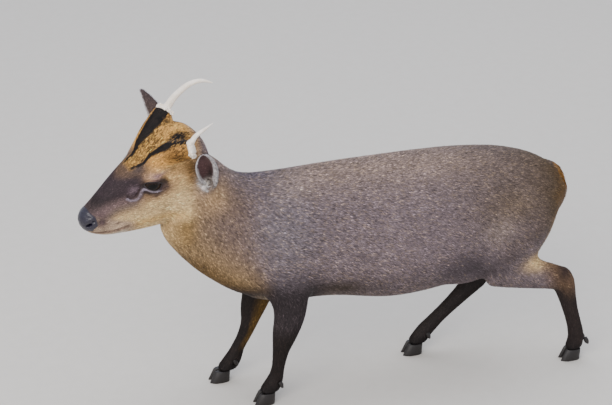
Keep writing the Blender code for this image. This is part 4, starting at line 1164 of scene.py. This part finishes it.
def region_of(roots, ear):
    """The number of the region that each root belongs to."""
    x, y, z = roots.T
    place = to_head(roots)
    right = (y > SHIFT[1]).astype(int)
    number = np.select([x < -0.02, x < 0.17], [5, 7], 9) + right
    number = np.where(x + 0.5 * (0.40 - z) < -0.125, 3 + right, number)
    fore = (z < 0.20) & (x < 0.0)
    hind = (x > 0.12) & (z < 0.245 - 0.6 * np.clip(0.27 - x, 0, 0.12))
    number = np.where(fore, 11 + right, number)
    number = np.where(hind, 13 + right, number)
    face = head_share(roots, place) > 0.5
    number = np.where(face, (place[:, 1] < 0).astype(int), number)
    number = np.where(ear > 0.5, 2, number)
    return np.where(tail_share(roots) > 0.5, 15, number)


number = region_of(roots, root_ear)
print("regions:", len(REGIONS))

# %% Unwrap and join the tufts of each region
# Points: 0 root, 1 left, 2 right, 3 ridge, 4 tip. A tuft's patch on the unwrap is 0.003 across.
TUFT_FACES = np.array(((0, 3, 1), (0, 2, 3), (4, 1, 3), (4, 3, 2), (0, 1, 2), (4, 2, 1)))
PATCH = np.array(((0, -0.5), (-0.5, 0), (0.5, 0), (0, 0.05), (0, 0.5))) * 0.003


def around(a, b):
    """The angle of a and b as a share of a full turn."""
    return np.arctan2(a, b) / (2 * math.pi)


def unwrapped(region, roots, ups):
    """Each root's place on a flat unwrap of the skin's own shape, from 0 to 1 both ways."""
    place = to_head(roots)
    if region.startswith("ear"):
        # Four sheets side by side: the back and the cup of the left ear, then of the right one.
        axis = EAR_TIP - EAR_ROOT
        sign = np.where(place[:, 1:2] < 0, (1, -1, 1), (1, 1, 1))
        front = (ups @ TURN * sign) @ EAR_MOUTH > 0
        sheet = 8 * front + 16 * (place[:, 1] < 0)
        across = np.cross(axis, EAR_MOUTH)
        flat = np.column_stack([sided(place) @ across / 15 + sheet, sided(place) @ axis / 15])
    elif region.startswith("face"):
        flat = np.column_stack([around(place[:, 1], place[:, 2] - 1.0), place[:, 0]])
    elif region.startswith("leg"):
        line = np.array(LEG_LINES[REGIONS.index(region) - REGIONS.index("leg_fore_left")]) * 0.01 + SHIFT
        flat = np.column_stack([around(ups[:, 0], ups[:, 1]), to_line(roots, line)[1]])
    else:
        flat = np.column_stack([around(roots[:, 1] - SHIFT[1], roots[:, 2] - 0.31), roots[:, 0]])
    low, high = flat.min(0), flat.max(0)
    return 0.01 + 0.98 * (flat - low) / (high - low + 1e-9)


def coat_piece(name, tufts, facing, shades, flat):
    """One mesh of tufts, with their normals, their tints and the OFBake map."""
    count = len(tufts)
    mesh = bpy.data.meshes.new(name)
    mesh.vertices.add(count * 5)
    mesh.vertices.foreach_set("co", tufts.astype(np.float32).ravel())
    faces = (np.arange(count)[:, None, None] * 5 + TUFT_FACES).reshape(-1, 3)
    mesh.loops.add(faces.size)
    mesh.loops.foreach_set("vertex_index", faces.astype(np.int32).ravel())
    mesh.polygons.add(len(faces))
    mesh.polygons.foreach_set("loop_start", np.arange(0, faces.size, 3, dtype=np.int32))
    mesh.polygons.foreach_set("use_smooth", [True] * len(faces))
    mesh.update(calc_edges=True)
    tint = mesh.color_attributes.new("tint", "FLOAT_COLOR", "POINT")
    rows = np.concatenate([np.clip(shades, 0, 1), np.ones((count, 5, 1))], axis=2)
    tint.data.foreach_set("color", rows.astype(np.float32).ravel())
    spots = flat[:, None, :] + PATCH
    uv = mesh.uv_layers.new(name="OFBake")
    uv.data.foreach_set("uv", spots.reshape(-1, 2)[faces.ravel()].astype(np.float32).ravel())
    mesh.normals_split_custom_set_from_vertices(facing.reshape(-1, 3))
    return link(name, mesh)


print("triangles in a tuft:", len(TUFT_FACES))

# %% Hair material and the pieces of the coat
# Guard hairs: slightly glossy fibres that catch soft light along them.
hair, tree, shader, place = new_material("coat_hair")
flecks = node(tree, "ShaderNodeTexNoise", {"Vector": place, "Scale": 900.0, "Detail": 2.0})
feed(tree, shader, {"Base Color": toned(tree, flecks.outputs["Fac"], 0.3, 0.7, 0.8, 1.2),
                    "Roughness": 0.62, "Specular IOR Level": 0.25, "Sheen Weight": 0.05,
                    "Sheen Roughness": 0.4})

for k, region in enumerate(REGIONS):
    mine = number == k
    flat = unwrapped(region, roots[mine], ups[mine])
    piece = coat_piece("coat_" + region, tufts[mine], facing[mine], shades[mine], flat)
    piece.data.materials.append(hair)
    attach(piece, "root")
    print(piece.name, mine.sum(), "tufts")

# %% [markdown]
# ## Eyes
# A muntjac's eye is large and nearly black, with a wide pupil across a deep brown iris. A clear
# shell over a dark ball would need refraction, which exports badly, so each eye is one ball of
# the solid's size with a slightly raised cornea, and its gloss does the rest. A wet rim lies along
# the lids as a fine dark tube, which also hides where skin and eyeball meet, and short lashes
# stand on the upper one.

# %% Eyeballs
def from_eye(sign, p, q, r):
    """The world place at p along the lids and q up, on a ball of radius r centimetres."""
    centre, along, up, out = eye_frame(sign)
    a, b = p / EYE_BALL, q / EYE_BALL
    way = (along * math.sin(a) + out * math.cos(a)) * math.cos(b) + up * math.sin(b)
    return Vector(to_world((centre + way * r)[None])[0])


def eyeball(side, sign):
    """A ball with a raised cornea. Its points know how far they are from the pupil, 1 at its edge."""
    centre, along, up, out = (Vector(v) for v in eye_frame(sign))
    bm = bmesh.new()
    bmesh.ops.create_icosphere(bm, subdivisions=5, radius=1.0)
    pupil = []
    for v in bm.verts:
        a, b, c = v.co
        bulge = 0.07 * float(ramp(np.array([c]), 0.72, 1.0)[0])
        pupil.append((a / 0.46) ** 2 + (b / 0.27) ** 2 if c > 0 else 9.0)
        way = along * a + up * b + out * c
        v.co = Vector(to_world(np.array([centre + way * (EYE_BALL + bulge)]))[0])
    bmesh.ops.recalc_face_normals(bm, faces=bm.faces)
    for face in bm.faces:
        face.smooth = True
    ball = object_of("eyeball_" + side, bm)
    mark = ball.data.attributes.new("from_pupil", "FLOAT", "POINT")
    mark.data.foreach_set("value", np.array(pupil, np.float32))
    return ball


# A wet eyeball: black pupil, dark brown iris, faintly mottled, and a clear film over both.
wet_eye, tree, shader, place = new_material("wet_eyeball")
away = node(tree, "ShaderNodeAttribute", {}, attribute_name="from_pupil")
rays = node(tree, "ShaderNodeTexNoise", {"Vector": place, "Scale": 900.0, "Detail": 2.0})
edge = node(tree, "ShaderNodeMapRange", {"Value": away.outputs["Fac"], "From Min": 0.85, "From Max": 1.25})
brown = blend(tree, rays.outputs["Fac"], rgba("#130c09"), rgba("#27180f"))
iris = blend(tree, edge.outputs["Result"], rgba("#050505"), brown)
rim = node(tree, "ShaderNodeMapRange", {"Value": away.outputs["Fac"], "From Min": 2.6, "From Max": 4.2})
whole = blend(tree, rim.outputs["Result"], iris, rgba("#0e0a09"))
feed(tree, shader, {"Base Color": whole, "Roughness": 0.08, "IOR": 1.38,
                    "Specular IOR Level": 0.20, "Coat Weight": 0.12, "Coat Roughness": 0.02})
for side, sign in SIDES:
    ball = eyeball(side, sign)
    ball.data.materials.append(wet_eye)
    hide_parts("eye_" + side)
    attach(ball, "root")
print("eyeballs of", EYE_BALL * 20, "mm")


# %% Tubes along lines
def smooth_line(points, count):
    """A smooth curve through points, as count places."""
    points = [Vector(p) for p in points]
    points = [points[0] * 2 - points[1], *points, points[-1] * 2 - points[-2]]
    spans = len(points) - 3
    line = []
    for k in range(count):
        t = k / (count - 1) * spans
        i = min(int(t), spans - 1)
        t -= i
        a, b, c, d = points[i:i + 4]
        line.append(0.5 * ((2 * b) + (c - a) * t + (2 * a - 5 * b + 4 * c - d) * t ** 2
                           + (3 * b - a - 3 * c + d) * t ** 3))
    return line


def tube(bm, line, radii, sides, closed=False):
    """Bridges circles along a line. Returns the rings of vertices."""
    rings, upright = [], None
    count = len(line)
    for k, (place, radius) in enumerate(zip(line, radii)):
        ahead = line[(k + 1) % count] if closed else line[min(k + 1, count - 1)]
        behind = line[k - 1] if closed else line[max(k - 1, 0)]
        run = (ahead - behind).normalized()
        upright = run.orthogonal() if upright is None else upright - run * upright.dot(run)
        upright.normalize()
        turn = Matrix((upright, run.cross(upright), run)).transposed().to_4x4()
        ring = bmesh.ops.create_circle(bm, segments=sides, radius=radius,
                                       matrix=Matrix.Translation(place) @ turn)
        rings.append(ring["verts"])
    pairs = list(zip(rings, rings[1:] + rings[:1])) if closed else list(zip(rings, rings[1:]))
    for low, high in pairs:
        edges = {e for ring in (low, high) for v in ring for e in v.link_edges
                 if e.other_vert(v) in ring}
        bmesh.ops.bridge_loops(bm, edges=list(edges))
    return rings


def finished(name, bm, material, replaced=()):
    """Closes a piece: normals out, smooth, one material, riding on the body."""
    bmesh.ops.recalc_face_normals(bm, faces=bm.faces)
    for face in bm.faces:
        face.smooth = True
    made = object_of(name, bm)
    made.data.materials.append(material)
    if replaced:
        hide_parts(*replaced)
    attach(made, "root")
    return made


# %% Lid rims
# Lid margins: bare dark skin, kept wet by the eye.
wet_skin, tree, shader, place = new_material("wet_lid_skin")
pores = node(tree, "ShaderNodeTexNoise", {"Vector": place, "Scale": 1200.0, "Detail": 2.0})
feed(tree, shader, {"Base Color": blend(tree, pores.outputs["Fac"], rgba("#171214"), rgba("#2c2326")),
                    "Roughness": 0.32})
RIM_POINTS, RIM_RADIUS = 56, 0.0009
for side, sign in SIDES:
    line = []
    for k in range(RIM_POINTS):
        turn = 2 * math.pi * k / RIM_POINTS
        p = -0.25 + 1.78 * math.cos(turn)
        upper, lower, _ = almond(np.array([p]))
        q = float(upper[0] if math.sin(turn) >= 0 else lower[0])
        line.append(from_eye(sign, p, q, 1.76))
    bm = bmesh.new()
    tube(bm, line, [RIM_RADIUS] * len(line), 8, closed=True)
    finished("lid_rim_" + side, bm, wet_skin)
print("lid rims of 1.8 mm")

# %% Lashes
LASHES = 26
for side, sign in SIDES:
    bm = bmesh.new()
    for k in range(LASHES):
        p = -1.75 + 2.75 * k / (LASHES - 1) + rng.uniform(-0.04, 0.04)
        q = float(almond(np.array([p]))[0][0]) + 0.02
        line = []
        for step, (rise, droop) in enumerate(((0.0, 0.0), (0.18, -0.04), (0.34, -0.14), (0.46, -0.28))):
            line.append(from_eye(sign, p - 0.05 * step, q + droop * rng.uniform(0.8, 1.1), 1.78 + rise))
        tube(bm, line, [0.00030, 0.00026, 0.00018, 0.00005], 5)
    finished("lashes_" + side, bm, wet_skin)
print("lashes on each lid:", LASHES)

# %% [markdown]
# ## Antlers
# The antlers are bare bone: a bumpy burr where each meets its stalk, shallow grooves along the
# beam, and a smooth tip that curls back and in. A curve with a bevel would give the beam but no
# grooves. So circles are bridged along a curve, their points are moved in and out for the grooves,
# and two rows of small rough balls on a collar make the burr.

# %% Antlers
# For each: a place down the stalk, the middle of the burr, and steps along the beam from there.
ANTLERS = {
    "left": ((4.0, 3.2, 7.8), (0.76, 4.96, 8.36),
             ((-0.9, -0.2, 1.1), (-1.7, -0.3, 1.7), (-2.7, -0.3, 2.0), (-4.1, -0.7, 1.9), (-5.8, -1.6, 1.4))),
    "right": ((3.6, -2.9, 7.9), (-0.1, -4.7, 9.4),
              ((-0.9, 0, 0.8), (-2.7, -0.2, 2.4), (-5.1, -0.7, 3.7), (-7.1, -1.4, 3.9), (-8.9, -2.1, 2.9))),
}
ANTLER_RADII, BURR_RADIUS = {"left": 0.0047, "right": 0.0066}, 0.0155
BEAM_RINGS, BEAM_SIDES, BURR_LUMPS = 64, 28, 29


def antler(side, sign, rng):
    """The beam with its grooves, and the burr with its collar, as one bmesh."""
    below, base, steps = ANTLERS[side]
    start = in_head(*base)
    along = (start - in_head(*below)).normalized()
    places = [start + HEAD_TURN @ Vector((x, sign * y, z)) * 0.01 for x, y, z in steps]
    places.insert(0, start - along * 0.002)
    line = smooth_line(places, BEAM_RINGS)
    shares = np.interp(np.linspace(0, 5, BEAM_RINGS), range(6), (1.08, 1.0, 0.84, 0.70, 0.50, 0.10))
    bm = bmesh.new()
    rings = tube(bm, line, [ANTLER_RADII[side] * s for s in shares], BEAM_SIDES)
    phases = rng.uniform(0, 6.28, 4)
    for k, ring in enumerate(rings):
        t = k / (BEAM_RINGS - 1)
        centre = sum((v.co for v in ring), Vector()) / len(ring)
        for j, v in enumerate(ring):
            angle = 2 * math.pi * j / len(ring)
            groove = math.sin(5 * angle + phases[0] + 2 * t) + 0.6 * math.sin(9 * angle + phases[1] - 3 * t)
            lump = math.sin(3 * angle + 22 * t + phases[2]) * math.sin(31 * t + phases[3])
            depth = 0.035 * groove * (1 - t) + 0.06 * lump * max(0.0, 1 - 2.5 * t)
            v.co = centre + (v.co - centre) * (1 + depth)
    bmesh.ops.contextual_create(bm, geom=rings[0])
    bmesh.ops.pointmerge(bm, verts=rings[-1], merge_co=line[-1])
    side_way = along.orthogonal().normalized()
    across = along.cross(side_way)
    for k in range(2 * BURR_LUMPS):
        angle = 2 * math.pi * (k + rng.uniform(-0.4, 0.4)) / BURR_LUMPS
        level = rng.uniform(0.0002, 0.0045) if k < BURR_LUMPS else rng.uniform(0.0040, 0.0078)
        reach = BURR_RADIUS * (0.86 + 0.07 * math.cos(5 * angle) + rng.uniform(-0.07, 0.05))
        reach -= 0.35 * max(0, level - 0.003)
        place = start + (side_way * math.cos(angle) + across * math.sin(angle)) * reach + along * level
        size = rng.uniform(0.0016, 0.0030)
        turn = Matrix.Translation(place) @ Matrix.Rotation(rng.uniform(0, 3), 4, "XYZ"[k % 3])
        turn = turn @ Matrix.Diagonal((size, size * rng.uniform(0.8, 1.5), size * 0.9, 1))
        bmesh.ops.create_icosphere(bm, subdivisions=2, radius=1.0, matrix=turn)
    collar = [start - along * 0.0010, start + along * 0.0012, start + along * 0.0045,
              start + along * 0.0075, start + along * 0.0095]
    disc = tube(bm, collar, [BURR_RADIUS * s for s in (0.80, 0.90, 0.92, 0.74, 0.45)], BEAM_SIDES)
    for ring in (disc[0], disc[-1]):
        bmesh.ops.contextual_create(bm, geom=ring)
    return bm


# %% Antler bone
# Antler bone: pale ivory, stained light brown in patches, with a fine rough grain.
bone, tree, shader, place = new_material("antler_bone")
stain = node(tree, "ShaderNodeTexNoise", {"Vector": place, "Scale": 90.0, "Detail": 5.0, "Roughness": 0.65})
grain = node(tree, "ShaderNodeTexNoise", {"Vector": place, "Scale": 650.0, "Detail": 3.0})
patch = node(tree, "ShaderNodeMapRange", {"Value": stain.outputs["Fac"], "From Min": 0.38, "From Max": 0.68})
shade = blend(tree, patch.outputs["Result"], rgba("#fff4e4"), rgba("#d8be9a"))
speck = blend(tree, grain.outputs["Fac"], shade, rgba("#fff7ec"))
bump = node(tree, "ShaderNodeBump", {"Height": grain.outputs["Fac"], "Distance": 0.0005, "Strength": 0.5})
feed(tree, shader, {"Base Color": speck, "Normal": bump.outputs["Normal"], "Roughness": 0.5})
for side, sign in SIDES:
    made = finished("antler_bone_" + side, antler(side, sign, rng), bone, ["antler_" + side])
    print(made.name, len(made.data.polygons), "faces")

# %% [markdown]
# ## Hooves
# Each foot stands on two pointed hooves, with two dewclaws behind. They are horn, which grows
# down in fine rings. They could be modelled anew, but copies of the solids already have the
# shape, so their edges only need a small bevel before they are smoothed.

# %% Hooves
# Hoof horn: near black, with fine growth rings and a dull shine.
horn, tree, shader, place = new_material("hoof_horn")
rings = node(tree, "ShaderNodeTexWave", {"Vector": place, "Scale": 400.0, "Distortion": 4.0, "Detail": 2.0},
             bands_direction="Z")
shade = blend(tree, rings.outputs["Fac"], rgba("#120f0e"), rgba("#211b19"))
bump = node(tree, "ShaderNodeBump", {"Height": rings.outputs["Fac"], "Distance": 0.0002, "Strength": 0.35})
feed(tree, shader, {"Base Color": shade, "Normal": bump.outputs["Normal"], "Roughness": 0.42})
for end in ("fore", "hind"):
    for side, _ in SIDES:
        names = [f"{kind}_{end}_{side}_{part}" for kind in ("hoof", "dewclaw") for part in ("inner", "outer")]
        bm = bmesh.new()
        for name in names:
            merged_copy(bm, name, 0.0)
        bmesh.ops.dissolve_limit(bm, angle_limit=math.radians(4), verts=bm.verts, edges=bm.edges)
        sharp = [e for e in bm.edges if len(e.link_faces) == 2 and e.calc_face_angle() > math.radians(35)]
        bmesh.ops.bevel(bm, geom=sharp, affect="EDGES", offset=0.0012, segments=3, profile=0.5,
                        material=-1, clamp_overlap=True)
        finished(f"hooves_{end}_{side}", bm, horn, names)
print("hooves finished")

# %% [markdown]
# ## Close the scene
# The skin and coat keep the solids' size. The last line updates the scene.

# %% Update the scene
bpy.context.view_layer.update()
